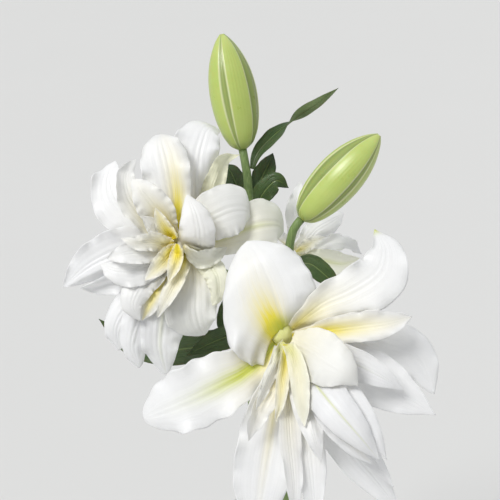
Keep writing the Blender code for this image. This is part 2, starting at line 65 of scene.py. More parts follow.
frontBloom = dict(
    place=(25, -61, 62), axis=(0.3, -0.38, 0.87),
    petals=dict(
        # the six outer tepals and the one between the two lowest
        front_left=(0, [(-22, -17, 4), (-50, -33, 9), (-76, -45, 7), (-98, -54, -5)], (21, 24),
            dict(cup=(36, 10, -20), wave=2.8, peak=0.6, point=0.5, claw=0.3, yellow=0.9, reach=0.24,
            green=1.1, greenReach=0.55, greenSpread=0.3, scallop=0.035, ruffle=3.0, ruffles=3.1,
            roll=(30, -24), rollFrom=0.35)),
        front_top_left=(1, [(-5, 14, 5), (-13, 36, 10), (-21, 55, 7), (-27, 67, -7)], (38, 31),
            dict(cup=(24, -12, -34), wave=1.8, waves=2, peak=0.46, point=0.46, claw=0.5, sweep=(1.1, 0.15),
            yellow=1.1, reach=0.36, spread=0.34, lean=-0.2, rib=0.9, ribWidth=0.06, ruffle=1.6, ruffles=2.6,
            roll=(-24, -32), rollFrom=0.2, green=0.9, greenReach=0.15, greenSpread=0.4)),
        front_top_right=(0, [(24, 24, 4), (45, 34, 10), (63, 48, 8), (66, 62, 2), (60, 75, -4)], (16, 21),
            dict(cup=(36, 14, -14), wave=1.8, peak=0.6, face=(-0.2, 0.1, 1), yellow=0.6, reach=0.3,
            scallop=0.02, ruffle=2.2, ruffles=3.6, roll=(16, -34), rib=0.5, tip=0.9)),
        front_right_back=(0, [(40, 0, -5), (66, -2, -5), (88, -12, -8), (102, -38, -14)], (17, 16),
            dict(cup=(30, -8, -16), peak=0.6, point=0.7, wave=1.4, ruffle=1.5, roll=(-30, -20))),
        front_right_low=(1, [(38, -12, 1), (60, -25, 4), (81, -38, 4), (101, -51, 0)], (17, 20),
            dict(cup=(40, 12, 20), peak=0.52, point=1.0, ruffle=0.9, rib=1.0, roll=(10, -14))),
        front_low_right=(0, [(26, -50, -2), (45, -78, 0), (62, -98, -2), (78, -119, -8)], (12, 13),
            dict(cup=(34, 14, 14), peak=0.58, point=0.9, wave=1.2, ruffle=0.9, rib=0.9)),
        front_bottom=(0, [(-4, -26, 1), (-10, -56, 5), (-15, -86, 3), (-19, -116, -3), (-20, -133, -8)],
            (20, 22), dict(cup=(36, 10, 10), peak=0.58, point=0.7, wave=1.6, yellow=0.8, reach=0.42,
            spread=0.16, ruffle=1.6, roll=(-16, 14))),
        # the middle whorls
        front_low_tip=(2, [(24, -38, 6), (46, -66, 12), (61, -84, 12), (72, -99, 8)], (9, 9),
            dict(cup=(34, 22, 20), peak=0.55, point=0.9, ruffle=0.6)),
        front_bottom_right=(1, [(7, -30, 6), (13, -62, 12), (17, -94, 12), (19, -124, 5)], (11, 11),
            dict(cup=(40, 20, 20), peak=0.58, ruffle=0.9, yellow=0.5, reach=0.34)),
        front_bottom_narrow=(2, [(0, -28, 10), (1, -62, 18), (4, -92, 17), (6, -122, 8)], (8, 8),
            dict(cup=(44, 30, 24), peak=0.55, face=(0.35, 0, 1), ruffle=0.8, yellow=0.55, reach=0.4)),
        front_left_boat=(2, [(-5, -16, 12), (-14, -34, 22), (-21, -50, 22), (-26, -67, 14)], (10, 10),
            dict(cup=(60, 58, 40), peak=0.52, point=0.85, face=(0.5, -0.1, 1), yellow=0.75, reach=0.5,
            ruffle=0.9, roll=(20, 20))),
        front_right_yellow=(2, [(26, 6, 8), (48, 9, 14), (68, 12, 16), (84, 16, 10)], (11, 11),
            dict(cup=(50, 34, 30), peak=0.6, face=(0, 0.25, 1), wave=1.2, yellow=1.1, reach=0.55,
            spread=0.7, ruffle=1.3, rib=0.4, roll=(0, -60), rollFrom=0.1)),
        front_right_inner=(3, [(30, -10, 14), (50, -17, 20), (65, -25, 20), (78, -33, 14)], (11, 11),
            dict(cup=(34, 14, 20), point=1.0, ruffle=0.6, rib=0.9, green=0.25, greenReach=0.6,
            greenSpread=0.05)),
        front_bottom_inner=(3, [(8, -24, 16), (13, -45, 28), (18, -64, 30), (22, -80, 24)], (9.5, 9.5),
            dict(cup=(30, -16, -10), point=0.9, ruffle=0.8, yellow=0.5, reach=0.36)),
        # the heart, still half closed
        front_heart_low=(3, [(22, -34, 20), (34, -54, 30), (46, -70, 31), (56, -81, 26)], (13, 12),
            dict(cup=(30, -34, -20), peak=0.55, point=0.9, ruffle=0.5, yellow=0.5, reach=0.5, spread=0.4)),
        front_heart_side=(4, [(26, -26, 24), (44, -44, 36), (56, -62, 38), (65, -77, 31)], (12, 12),
            dict(cup=(30, -36, -24), point=0.9, ruffle=0.5, rib=0.8)),
        front_heart=(4, [(17, -26, 28), (32, -44, 43), (46, -60, 44), (60, -77, 34)], (15, 14),
            dict(cup=(30, -36, -30), peak=0.48, point=0.9, ruffle=0.6, green=0.75, greenReach=0.78,
            greenSpread=0.05, rib=0.9, ribWidth=0.08)),
        front_heart_top=(5, [(14, -6, 20), (26, -13, 36), (37, -20, 40), (46, -28, 34)], (19, 18),
            dict(cup=(24, -28, -40), peak=0.48, point=0.75, claw=0.4, ruffle=0.9, yellow=0.2, reach=0.36,
            cream=0.12, roll=(-14, -20), rib=0.4)),
        # small ones round the throat, which the solids leave out
        front_throat_left=(4, [(-5, -6, 10), (-10, -18, 18), (-16, -32, 21), (-21, -45, 17)], (5, 5),
            dict(cup=(60, 50, 30), claw=0.45, point=0.9, face=(0.3, 0, 1), yellow=0.25, reach=0.5,
            cream=0.12, green=0.6, greenReach=0.3, greenSpread=0.9, ruffle=0.7)),
        front_throat_low=(4, [(-1, -10, 12), (-3, -24, 21), (-5, -40, 24), (-8, -54, 19)], (5, 5),
            dict(cup=(60, 44, 30), claw=0.5, point=0.9, yellow=0.8, reach=0.75, cream=0.2, green=0.5,
            greenReach=0.3, greenSpread=0.8, ruffle=0.7)),
        front_throat_side=(4, [(4, -10, 14), (7, -24, 24), (9, -40, 28), (11, -56, 24)], (7, 6),
            dict(cup=(40, 20, 10), claw=0.6, yellow=0.3, reach=0.8, cream=0.35, green=0.4, greenReach=0.3,
            greenSpread=0.8, ruffle=0.7, rib=0.4)),
    ),
)

leftBloom = dict(
    place=(-50, 6, 28), axis=(-0.25, -0.05, 0.97),
    petals=dict(
        left_top_back=(0, [(11, 30, -8), (12, 50, -4), (15, 69, -6), (20, 81, -14), (28, 80, -24)],
            (20, 15), dict(cup=(36, 16, -16), wave=2.6, peak=0.6, point=0.5, ruffle=2.8, ruffles=3.2,
            rib=1.2, roll=(-30, -56))),
        left_top_reverse=(0, [(20, 26, -12), (26, 44, -12), (32, 58, -14), (43, 62, -18)], (8, 8),
            dict(cup=(30, 14, 10), wave=1.6, peak=0.45, point=0.9, cream=0.8, ruffle=1.6)),
        left_right_back=(0, [(24, 1, -4), (42, 7, -2), (59, 12, -3), (70, 12, -12), (74, 7, -22)], (19, 19),
            dict(cup=(50, 8, -16), wave=1.8, peak=0.7, point=0.5, yellow=0.3, reach=0.55, cream=0.22,
            green=0.7, greenReach=0.7, greenSpread=0.12, ruffle=2.2, ruffles=3.4, rib=1.2,
            roll=(-44, -40))),
        left_right_low=(0, [(14, -15, -6), (21, -25, -4), (25, -37, -8)], (6, 8), dict(cup=(40, 20, 6),
            peak=0.6, wave=1.4, cream=0.65, ruffle=0.9)),
        left_upper=(0, [(-16, 9, 0), (-32, 17, 3), (-44, 27, 3), (-49, 41, 0), (-45, 57, -6)], (17, 16),
            dict(cup=(34, 20, 10), peak=0.52, point=0.75, wave=2.4, ruffle=2.8, ruffles=3.8, rib=1.1,
            roll=(34, 44), rollFrom=0.2)),
        left_far=(0, [(-18, -2, 2), (-38, -6, 6), (-59, -15, 6), (-81, -32, 2)], (15, 17),
            dict(cup=(34, 28, 30), point=0.85, ruffle=1.9, rib=1.0)),
        left_far_low=(0, [(-22, -22, -5), (-42, -29, -4), (-56, -32, -5), (-69, -33, -8)], (9, 9),
            dict(cup=(30, 16, 10), wave=1.4, ruffle=1.2)),
        left_low_outer=(0, [(-20, -28, 0), (-33, -43, 3), (-44, -60, 1), (-43, -77, -10)], (14, 12),
            dict(cup=(30, -20, -30), wave=1.6, peak=0.58, point=0.5, ruffle=2.4, ruffles=3.6,
            roll=(-60, -50), rib=1.1)),
        left_low_middle=(1, [(-17, -30, 5), (-27, -54, 9), (-32, -73, 5), (-28, -89, -5)], (14, 13),
            dict(cup=(30, -24, -30), wave=1.6, peak=0.6, point=0.5, ruffle=2.4, ruffles=3.8,
            roll=(-60, -50), rib=1.1)),
        left_low_inner=(0, [(-5, -28, 2), (-11, -52, 6), (-13, -74, 3), (-9, -94, -8)], (16, 15),
            dict(cup=(34, -14, -24), wave=2, peak=0.6, point=0.55, green=0.35, greenReach=0.8,
            greenSpread=0.1, ruffle=2.6, ruffles=3.8, roll=(-46, -44), rib=1.2)),
        left_bottom_right=(1, [(10, -18, 1), (11, -35, 7), (11, -49, 8), (14, -61, 2), (18, -66, -8)],
            (16, 21), dict(cup=(44, 10, -20), wave=1.8, peak=0.64, point=0.5, yellow=0.45, reach=0.3,
            cream=0.1, ruffle=2.2, ruffles=3.2, rib=1.3, roll=(-42, -36))),
        left_top=(1, [(-3, 16, 3), (-5, 34, 9), (-9, 55, 9), (-13, 71, 2), (-13, 76, -8)], (18, 17),
            dict(cup=(44, 18, -16), wave=1.8, peak=0.62, point=0.5, yellow=1.1, reach=0.46, spread=0.4,
            lean=0.3, cream=0.04, ruffle=2.8, ruffles=3.2, rib=1.2, roll=(-44, -60))),
        left_right=(1, [(10, 7, 6), (24, 16, 14), (38, 22, 12), (48, 22, 4), (50, 18, -6)], (20, 18),
            dict(cup=(34, -8, -16), peak=0.6, point=0.55, yellow=0.5, reach=0.25, cream=0.05, ruffle=2.0,
            ruffles=3.2, rib=1.0, roll=(-38, -42))),
        # the middle whorls
        left_upper_folded=(2, [(-13, 6, 6), (-25, 18, 14), (-34, 32, 18), (-36, 46, 16), (-29, 57, 12)],
            (12, 11), dict(cup=(50, 44, 30), wave=2, waves=2, point=0.75, face=(0.4, 0.1, 1), yellow=0.6,
            reach=0.4, cream=0.08, roll=(34, 34), ruffle=2.0)),
        left_upper_inner=(3, [(-7, 9, 8), (-14, 21, 18), (-22, 32, 22), (-31, 43, 20)], (12, 12),
            dict(cup=(36, 12, -10), peak=0.55, point=0.7, yellow=1.0, reach=0.45, spread=0.6, cream=0.06,
            ruffle=1.6)),
        left_low_cream=(2, [(-7, -13, 9), (-14, -29, 15), (-20, -43, 15), (-25, -55, 10)], (10, 12),
            dict(cup=(44, 34, 10), peak=0.55, point=0.75, yellow=1.1, reach=0.9, spread=0.45, lean=-0.1,
            cream=0.12, ruffle=1.6)),
        left_low_folded=(3, [(4, -14, 12), (-1, -28, 18), (-8, -41, 20), (-14, -53, 16)], (6, 7),
            dict(cup=(50, 44, 30), peak=0.55, point=0.9, yellow=0.85, reach=0.55, cream=0.12, ruffle=1.4)),
        left_low_curled=(3, [(-16, -20, 12), (-27, -33, 20), (-31, -45, 20), (-26, -55, 14)], (11, 12),
            dict(cup=(30, -24, -30), peak=0.58, point=0.7, cream=0.06, roll=(-56, -50), ruffle=1.8)),
        left_bunch_low=(2, [(-13, -11, 8), (-29, -19, 18), (-42, -20, 20), (-54, -16, 14)], (13, 11),
            dict(cup=(30, -20, -10), peak=0.54, point=0.75, cream=0.05, roll=(-46, -50), ruffle=2.0,
            ruffles=3.6)),
        left_bunch_top=(3, [(-11, -4, 10), (-26, -7, 22), (-38, -9, 26), (-48, -12, 22)], (10, 10),
            dict(cup=(44, 40, 30), peak=0.52, point=0.75, yellow=0.5, reach=0.31, cream=0.06, ruffle=1.8,
            roll=(34, 44))),
        left_heart=(4, [(10, -8, 18), (15, 3, 29), (13, 17, 32), (7, 32, 26)], (15, 13),
            dict(cup=(30, -26, -26), point=0.7, claw=0.4, face=(0.2, -0.1, 1), yellow=0.5, reach=0.28,
            roll=(-30, -30), rib=0.9, ruffle=1.4)),
        # small ones round the throat, which the solids leave out
        left_bottom_small=(1, [(19, -14, 0), (27, -24, 6), (28, -36, 5), (24, -45, 0)], (8, 9),
            dict(cup=(40, 10, -20), point=0.6, wave=1.4, cream=0.55, green=0.3, ruffle=1.8,
            roll=(-30, -40))),
        left_upper_small=(3, [(-9, 4, 8), (-17, 11, 14), (-24, 17, 15)], (7, 7), dict(cup=(40, 30, 10),
            point=0.7, cream=0.1, ruffle=1.2, roll=(30, 30))),
        left_right_small=(2, [(15, -13, 2), (24, -11, 6), (34, -4, 4)], (7, 6), dict(cup=(40, 20, -10),
            point=0.7, cream=0.3, ruffle=1.2)),
        left_throat_up=(4, [(-5, 4, 12), (-11, 13, 20), (-15, 23, 23)], (6, 6), dict(cup=(50, 50, 30),
            yellow=1.1, reach=0.75, cream=0.1)),
        left_throat_far=(4, [(-8, -2, 12), (-18, 0, 22), (-29, -1, 27), (-38, 2, 25)], (7, 7),
            dict(cup=(44, 30, 10), yellow=0.7, reach=0.5, cream=0.1, ruffle=1.2, roll=(20, 30))),
        left_throat_low=(4, [(-6, -9, 12), (-14, -19, 22), (-22, -27, 25)], (7, 7), dict(cup=(50, 44, 20),
            yellow=0.9, reach=0.7, cream=0.12)),
        left_throat_down=(5, [(0, -8, 12), (-2, -18, 20), (-6, -28, 23)], (5, 6), dict(cup=(50, 44, 20),
            yellow=1.0, reach=0.75, cream=0.15, ruffle=0.9)),
    ),
)

backBloom = dict(
    place=(32, -2, -34), axis=(0.45, 0.25, 0.6),
    petals=dict(
        back_up=(0, [(0, 14, 0), (0, 30, 2), (3, 43, 0), (6, 54, -6)], (6, 6), dict(cup=(30, 30, 30))),
        back_behind=(0, [(-8, 8, -10), (-16, 18, -22), (-20, 30, -34), (-20, 42, -44)], (12, 12),
            dict(cup=(30, 6, -10), face=(0.6, 0.4, 0.6))),
        back_right_up=(1, [(10, 9, 0), (18, 17, 4), (28, 23, 2), (38, 29, -8)], (10, 9),
            dict(cup=(30, -10, -20), peak=0.6, ruffle=1.2, roll=(-30, -30))),
        back_right=(0, [(16, 2, -4), (28, 6, 0), (40, 6, 2), (51, -1, -2)], (8, 6), dict(cup=(30, 20, 20),
            peak=0.6, face=(0, 0.6, 0.8), ruffle=1.2)),
        back_right_low=(1, [(10, -3, 4), (23, -6, 10), (37, -8, 12), (49, -4, 8)], (9, 9),
            dict(cup=(30, 14, -10), peak=0.6, wave=1.4, cream=0.5, green=0.6, greenReach=0.8,
            greenSpread=0.2, ruffle=1.2)),
        back_low=(0, [(4, -12, -10), (10, -26, -18), (18, -40, -26), (24, -52, -38)], (12, 12),
            dict(cup=(30, 6, -16), face=(0.4, 0.6, 0.6))),
        back_small=(2, [(8, 4, 4), (16, 9, 10), (24, 12, 11)], (5, 5), dict(cup=(44, 30, 10), point=1.0,
            yellow=0.6, reach=0.62)),
    ),
)

leafPlain = dict(petalPlain, cup=(40, 20, 14), claw=0.35, peak=0.4, point=0.9, wave=0, ribWidth=0.07,
                 ruffle=0.3, ruffles=3)

leaves = dict(
    leaf_twisted=([(1.5, 59, -12), (4, 68, -13), (15, 81.5, -17), (25, 90, -20), (35, 98, -20),
        (50, 108, -20), (65, 119, -22)], (6.5, 6.5), dict(twist=-160, claw=0.25, face=(-0.6, 0.8, 0.1))),
    leaf_top_left=([(-6.9, 40, -16), (-10, 48, -21), (-14, 57, -26), (-19, 64, -34)], (8, 8), dict()),
    leaf_top_right=([(3.6, 42, -17.4), (8, 52, -22), (13, 62, -27), (17, 72, -34)], (8, 8), dict()),
    leaf_curled=([(4.8, 32, -11), (11, 43, -4), (19, 50, -1), (28, 45, -6)], (8, 8),
        dict(cup=(20, -20, -20), wave=1.0, waves=2)),
    leaf_under_back=([(31.7, -10, -5), (43, -10, -3), (54, -18, -1), (66, -30, -4)], (8, 8),
        dict(cup=(40, 30, 20))),
    leaf_far_left=([(-5, -60, -34), (-50, -74, -42), (-90, -70, -44), (-114, -52, -52)], (12, 12), dict()),
    leaf_middle=([(-6.4, -31, -24), (-13, -42, -25), (-18, -54, -27), (-20, -65, -30)], (9, 9), dict()),
    leaf_low=([(-3.3, -57, -28.8), (-14, -62, -14), (-30, -68, -4), (-46, -76, 2)], (9, 9), dict()),
    leaf_stem_right=([(28.1, -120, -39.2), (37, -125, -66), (44, -138, -94), (47, -160, -122)], (11, 11),
        dict()),
)

stems = dict(
    stem_left=dict(
        low=[(22, -10, 9.7), (7, 9, 112), (-8, 28, 212)],
        high=[(2, -98, -38), (0, -56, -32), (0, -16, -18), (-0.5, 22, -13), (-1, 40, -14), (-2, 54, -14),
              (-3.7, 64.2, -13), (-5.4, 73.4, -12.1)],
        stalks=[[(0, -22, -20), (-18, -17, -16), (-36, -4, -8), (-45, 4.5, 4), (-47.4, 6.5, 18)]],
    ),
    stem_right=dict(
        low=[(-22, 10, 9.7), (-6, -9, 112), (10, -27.5, 212)],
        high=[(27, -98, -30), (28, -60, -20), (28, -26, -10), (28, -4, 0), (29, 7, 7.5), (32, 16.5, 12.8),
              (36.3, 21.8, 13.8)],
        stalks=[
            [(28, -58, -19.5), (23, -48, 4), (17, -46, 28), (18.4, -52.6, 42.4), (21.8, -56.9, 52.6)],
            [(28, -30, -11), (22, -22, -30), (20.8, -13, -42), (23.6, -6.7, -45), (26, -5.3, -42)],
        ],
    ),
)
stalkShares, stalkRadii = (0, 0.7, 0.88, 1), (3, 3, 4, 7)
stemShares, stemRadii = (0, 0.55, 0.8, 1), (5.5, 4.4, 3.6, 3)

# the sheets are laid out on the solids' own coarse grid, then made again finely with their details
sheetMaking = dict(
    along=16, across=8, finer=4, stalkRings=8, fineCounts=(64, 32),
    spacing=((1.5, 40), (0.75, 24)), reach=12, cell=1.2,  # gap and rounds, first coarse and then fine
)
tubeSides = 8
growStep = 1.3  # each petal's waves start that much further on
whorls = [(7.6, -6), (6.2, -4), (4.8, -2), (3.6, 0), (2.6, 2), (1.8, 4)]


def unit(vectors):
    return vectors / np.linalg.norm(vectors, axis=-1, keepdims=True)


def hermite(values, knots, places):
    slopes = np.gradient(values, knots, axis=0)
    span = np.clip(np.searchsorted(knots, places, side="right") - 1, 0, len(values) - 2)
    width = (knots[span + 1] - knots[span])[:, None]
    u = (places[:, None] - knots[span][:, None]) / width
    return (
        (2 * u**3 - 3 * u**2 + 1) * values[span]
        + (u**3 - 2 * u**2 + u) * width * slopes[span]
        + (3 * u**2 - 2 * u**3) * values[span + 1]
        + (u**3 - u**2) * width * slopes[span + 1]
    )


def smoothLine(points, count):
    # evenly spaced points on a smooth curve through the given ones
    points = np.asarray(points, float)
    knots = np.concatenate([[0], np.cumsum(np.linalg.norm(np.diff(points, axis=0), axis=1))])
    curve = hermite(points, knots, np.linspace(0, knots[-1], 40 * len(points)))
    run = np.concatenate([[0], np.cumsum(np.linalg.norm(np.diff(curve, axis=0), axis=1))])
    even = np.linspace(0, run[-1], count)
    return np.stack([np.interp(even, run, curve[:, k]) for k in range(3)], axis=1)


def framesAlong(line, face, twist):
    # tangent, side and face directions at each point, carried out from the middle without spin, plus a twist
    tangents = unit(np.gradient(line, axis=0))
    count = len(line)
    middle = count // 2
    normals = np.zeros_like(line)

    def settle(at, before):
        return unit(before - before.dot(tangents[at]) * tangents[at])

    normals[middle] = settle(middle, unit(np.asarray(face, float)))
    for at in range(middle + 1, count):
        normals[at] = settle(at, normals[at - 1])
    for at in range(middle - 1, -1, -1):
        normals[at] = settle(at, normals[at + 1])
    sides = np.cross(tangents, normals)
    turn = np.radians(twist) * np.tanh(5 * np.linspace(-0.5, 0.5, count))[:, None] / 2
    turned = normals * np.cos(turn) + sides * np.sin(turn)
    return tangents, np.cross(tangents, turned), turned


def outline(t, shape, tip):
    # share of the full half width at each share of the length
    rise = shape["claw"] + (1 - shape["claw"]) * np.sin(math.pi / 2 * np.clip(t / shape["peak"], 0, 1))
    past = np.clip((t - shape["peak"]) / (1 - shape["peak"]), 0, 1)
    return rise * np.maximum((1 - past**2) ** shape["point"], tip)


def sheetShares(along, across):
    # shares of the length from base to tip, and of the half width from one margin to the other
    return np.linspace(0, 1, along + 1)[:, None], np.linspace(-1, 1, across + 1)[None, :]


def sheetPoints(linePoints, shape, half, lateral, lift):
    # each place's offsets to the side and upwards, set out along the middle line
    t, v = sheetShares(half.shape[0] - 1, half.shape[1] - 1)
    line = smoothLine(linePoints, len(t))
    tangents, sides, normals = framesAlong(line, shape["face"], shape["twist"])
    back = -np.where(v < 0, *shape["sweep"]) * np.abs(v) ** 2 * half * (1 - t)
    return (
        line[:, None] + lateral[..., None] * sides[:, None] + lift[..., None] * normals[:, None]
        + back[..., None] * tangents[:, None]
    )


def ripples(t, v, count, start, shift):
    # a wave along each margin, the second one shifted
    return np.sin(2 * math.pi * count * t + start + shift * (v > 0))


def plainSheet(linePoints, halves, shape):
    # the same middle surface as the solid's
    along, across = sheetMaking["along"], sheetMaking["across"]
    t, v = sheetShares(along, across)
    half = np.where(v < 0, halves[0], halves[1]) * outline(t, shape, 0.05)
    cup = np.radians(np.interp(t, (0, 0.5, 1), shape["cup"]))
    cup = np.where(np.abs(cup) < 0.02, 0.02, cup)
    lateral = half * np.sin(cup * v) / cup
    lift = half * (1 - np.cos(cup * v)) / cup
    ripple = ripples(t, v, shape["waves"], shape["grow"], 1.7)
    lift = lift + shape["wave"] * np.abs(v) ** 3 * ripple * np.sin(math.pi * t) ** 0.5
    return sheetPoints(linePoints, shape, half, lateral, lift)


# what all fine sheets share; widths are shares of the half width
sheetDetail = dict(
    swell=0.022, swells=2.3, scallops=6.7, sharper=0.12, tip=0.012, rollAcross=0.55,
    frillDrift=0.13, frillPower=4.5, grooveWidth=0.05, crestWidth=0.06, folds=3.5, foldDepth=0.6,
)


def fineSheet(linePoints, halves, shape, along, across):
    t, v = sheetShares(along, across)
    phase = shape["grow"]
    size = np.where(v < 0, halves[0], halves[1])
    # an uneven margin
    wobble = 1 + sheetDetail["swell"] * ripples(t, v, sheetDetail["swells"], phase, 2)
    wobble = wobble + shape["scallop"] * ripples(t, v, sheetDetail["scallops"], 2.1 * phase, 4)
    sharper = dict(shape, point=shape["point"] + sheetDetail["sharper"])
    half = size * outline(t, sharper, sheetDetail["tip"]) * wobble
    cup = np.radians(np.interp(t, (0, 0.5, 1), shape["cup"]))
    rollAcross = sheetDetail["rollAcross"]
    over = np.clip((np.abs(v) - rollAcross) / (1 - rollAcross), 0, 1) ** 1.5
    rolling = np.clip((t - shape["rollFrom"]) / max(1 - shape["rollFrom"], 0.05), 0, 1) ** 0.7
    angle = cup * v + np.sign(v) * over * rolling * np.radians(np.where(v < 0, *shape["roll"]))
    step = 2 / across
    middle = across // 2

    def acrossSum(rate):
        mean = (rate[:, 1:] + rate[:, :-1]) / 2 * step
        total = np.concatenate([np.zeros((along + 1, 1)), np.cumsum(mean, axis=1)], axis=1)
        return total - total[:, middle:middle + 1]

    lateral = half * acrossSum(np.cos(angle))
    lift = half * acrossSum(np.sin(angle))
    ends = np.sin(math.pi * np.clip(t, 0, 1)) ** 0.5
    ripple = ripples(t, v, shape["waves"], phase, 1.7)
    lift = lift + shape["wave"] * np.abs(v) ** 3 * ripple * ends
    uneven = sheetDetail["frillDrift"] * np.sin(9 * t + phase)
    frill = np.sin(2 * math.pi * (shape["ruffles"] * t + uneven) + 2.7 * phase + 2.2 * (v > 0))
    frill = frill + 0.5 * ripples(t, v, shape["ruffles"] * 2.3, 1.3 * phase, 1.1)
    lift = lift + shape["ruffle"] * np.abs(v) ** sheetDetail["frillPower"] * frill * ends
    # a rib between two grooves down the middle, and faint long folds beside it
    fade = np.clip(1.25 - 1.25 * t, 0, 1) ** 0.6 * np.clip(half / size * 1.6, 0, 1)
    groove = np.exp(-(((np.abs(v) - shape["ribWidth"]) / sheetDetail["grooveWidth"]) ** 2))
    groove = groove - 0.5 * np.exp(-((v / sheetDetail["crestWidth"]) ** 2))
    lift = lift - shape["rib"] * groove * fade
    folds = np.cos(2 * math.pi * (sheetDetail["folds"] * np.abs(v) + 0.2)) * (1 - np.abs(v)) * np.abs(v)
    lift = lift + sheetDetail["foldDepth"] * shape["rib"] * folds * fade
    return sheetPoints(linePoints, shape, half, lateral, lift)


def blur(field):
    for way in (0, 1):
        before = np.concatenate([field.take([0], way), field.take(range(field.shape[way] - 1), way)], way)
        after = np.concatenate([field.take(range(1, field.shape[way]), way), field.take([-1], way)], way)
        field = (before + 2 * field + after) / 4
    return field


def straightSpread(count, finer):
    places = np.linspace(0, count, finer * count + 1)[:, None]
    return np.clip(1 - np.abs(places - np.arange(count + 1)), 0, 1)


def smoothSpread(count, wanted):
    return hermite(np.eye(count + 1), np.arange(count + 1.0), np.linspace(0, count, wanted + 1))


def heightMap(cells, heights, lowCell, size, highest):
    # the highest or lowest point of a sheet over each cell, spread to the neighbouring cells
    pick = np.maximum if highest else np.minimum
    made = np.full((size[0] + 2, size[1] + 2), -1e6 if highest else 1e6)
    pick.at(made, (cells[:, 0] - lowCell[0] + 1, cells[:, 1] - lowCell[1] + 1), heights)
    for way in (0, 1):
        made = pick(made, pick(np.roll(made, 1, way), np.roll(made, -1, way)))
    return made


def moveApart(sheets, spreads, fixed, gap, rounds):
    # how far each sheet's coarse points move along z until it lies clear in front of those before it
    cells = [np.floor(s[..., :2].reshape(-1, 2) / sheetMaking["cell"]).astype(int) for s in sheets]
    lows = [c.min(0) for c in cells]
    sizes = [c.max(0) - c.min(0) + 1 for c in cells]
    moved = [np.zeros((u.shape[1], w.shape[1])) for u, w in spreads]
    order = range(len(sheets))
    pairs = [
        (a, b)
        for a in order
        for b in range(a + 1, len(sheets))
        if not (fixed[a] and fixed[b])
        and (lows[a] <= lows[b] + sizes[b]).all()
        and (lows[b] <= lows[a] + sizes[a]).all()
    ]
    for _ in range(rounds):
        heights = [(s[..., 2] + u @ m @ w.T).ravel() for s, (u, w), m in zip(sheets, spreads, moved)]
        tops = [heightMap(cells[k], heights[k], lows[k], sizes[k], True) for k in order]
        bottoms = [heightMap(cells[k], heights[k], lows[k], sizes[k], False) for k in order]
        rises = [np.zeros_like(h) for h in heights]
        drops = [np.zeros_like(h) for h in heights]
        for a, b in pairs:
            share = 1 if fixed[a] or fixed[b] else 0.5
            for mine, other, maps, moves, sign in ((b, a, tops, rises, 1), (a, b, bottoms, drops, -1)):
                if fixed[mine]:
                    continue
                at = cells[mine] - lows[other] + 1
                inside = (at >= 0).all(1) & (at < np.array(maps[other].shape)).all(1)
                level = maps[other][tuple(at[inside].T)]
                push = sign * (level - heights[mine][inside]) + gap
                push = np.where(np.abs(level) > 1e5, 0, np.clip(push, 0, sheetMaking["reach"])) * share
                moves[mine][inside] = np.maximum(moves[mine][inside], push)
        for k, (u, w) in enumerate(spreads):
            if fixed[k]:
                continue
            move = (rises[k] - drops[k]).reshape(sheets[k].shape[:2])
            move = (u.T @ move @ w) / (u.sum(0)[:, None] * w.sum(0)[None, :])
            moved[k] += 0.5 * (move + blur(blur(move)))
    return moved


def petalBase(axis, whorl, toward):
    radius, height = whorls[whorl]
    axis = unit(np.asarray(axis, float))
    out = np.asarray(toward, float)
    out = unit(out - out.dot(axis) * axis)
    return radius * out + height * axis


def tubeRings(line, radii, sides=tubeSides):
    _, across, up = framesAlong(line, (0.2, 0.1, 1), 0)
    angles = np.linspace(0, 2 * math.pi, sides + 1)[:, None]
    return np.stack([
        centre + radius * (np.cos(angles) * x + np.sin(angles) * y)
        for centre, radius, x, y in zip(line, radii, across, up)
    ])


def layOutPetals():
    # every petal's fine sheet, clear of its neighbours, with its look
    along, across, finer, fineCounts = (sheetMaking[k] for k in ("along", "across", "finer", "fineCounts"))
    rings = sheetMaking["stalkRings"]
    ringShares = np.linspace(0, 1, rings + 1)
    stalkSpread = straightSpread(rings, finer), straightSpread(tubeSides, finer)
    straight = straightSpread(along, finer), straightSpread(across, finer)
    names, plain, fine, looks, fixed, spreads = [], [], [], [], [], []
    for stem in stems.values():
        for points in stem["stalks"]:
            stalk = tubeRings(smoothLine(points, rings + 1), np.interp(ringShares, stalkShares, stalkRadii))
            stalk = np.einsum("ai,bj,ijk->abk", *stalkSpread, stalk)
            for made, value in zip((names, plain, fine, looks, fixed, spreads),
                                   (None, stalk, stalk, None, True, stalkSpread)):
                made.append(value)
    for bloom in (backBloom, leftBloom, frontBloom):
        for number, (name, (whorl, points, halves, changes)) in enumerate(bloom["petals"].items()):
            shape = dict(petalPlain, grow=number * growStep, **changes)
            points = [petalBase(bloom["axis"], whorl, points[0]), *points]
            place = np.array(bloom["place"])
            coarse = np.einsum("ai,bj,ijk->abk", *straight, plainSheet(points, halves, shape) + place)
            smooth = fineSheet(points, halves, shape, *fineCounts) + place
            for made, value in zip((names, plain, fine, looks, fixed, spreads),
                                   (name, coarse, smooth, shape, False, straight)):
                made.append(value)
    u, w = (smoothSpread(count, wanted) for count, wanted in zip((along, across), fineCounts))
    fineSpreads = [s if f else (u, w) for s, f in zip(spreads, fixed)]
    for sheets, ways, (gap, rounds) in zip((plain, fine), (spreads, fineSpreads), sheetMaking["spacing"]):
        moved = moveApart(sheets, ways, fixed, gap, rounds)
        for sheet, move, stays in zip(fine, moved, fixed):
            if not stays:
                sheet[..., 2] += u @ move @ w.T
    return [(name, sheet, look) for name, sheet, look in zip(names, fine, looks) if name]


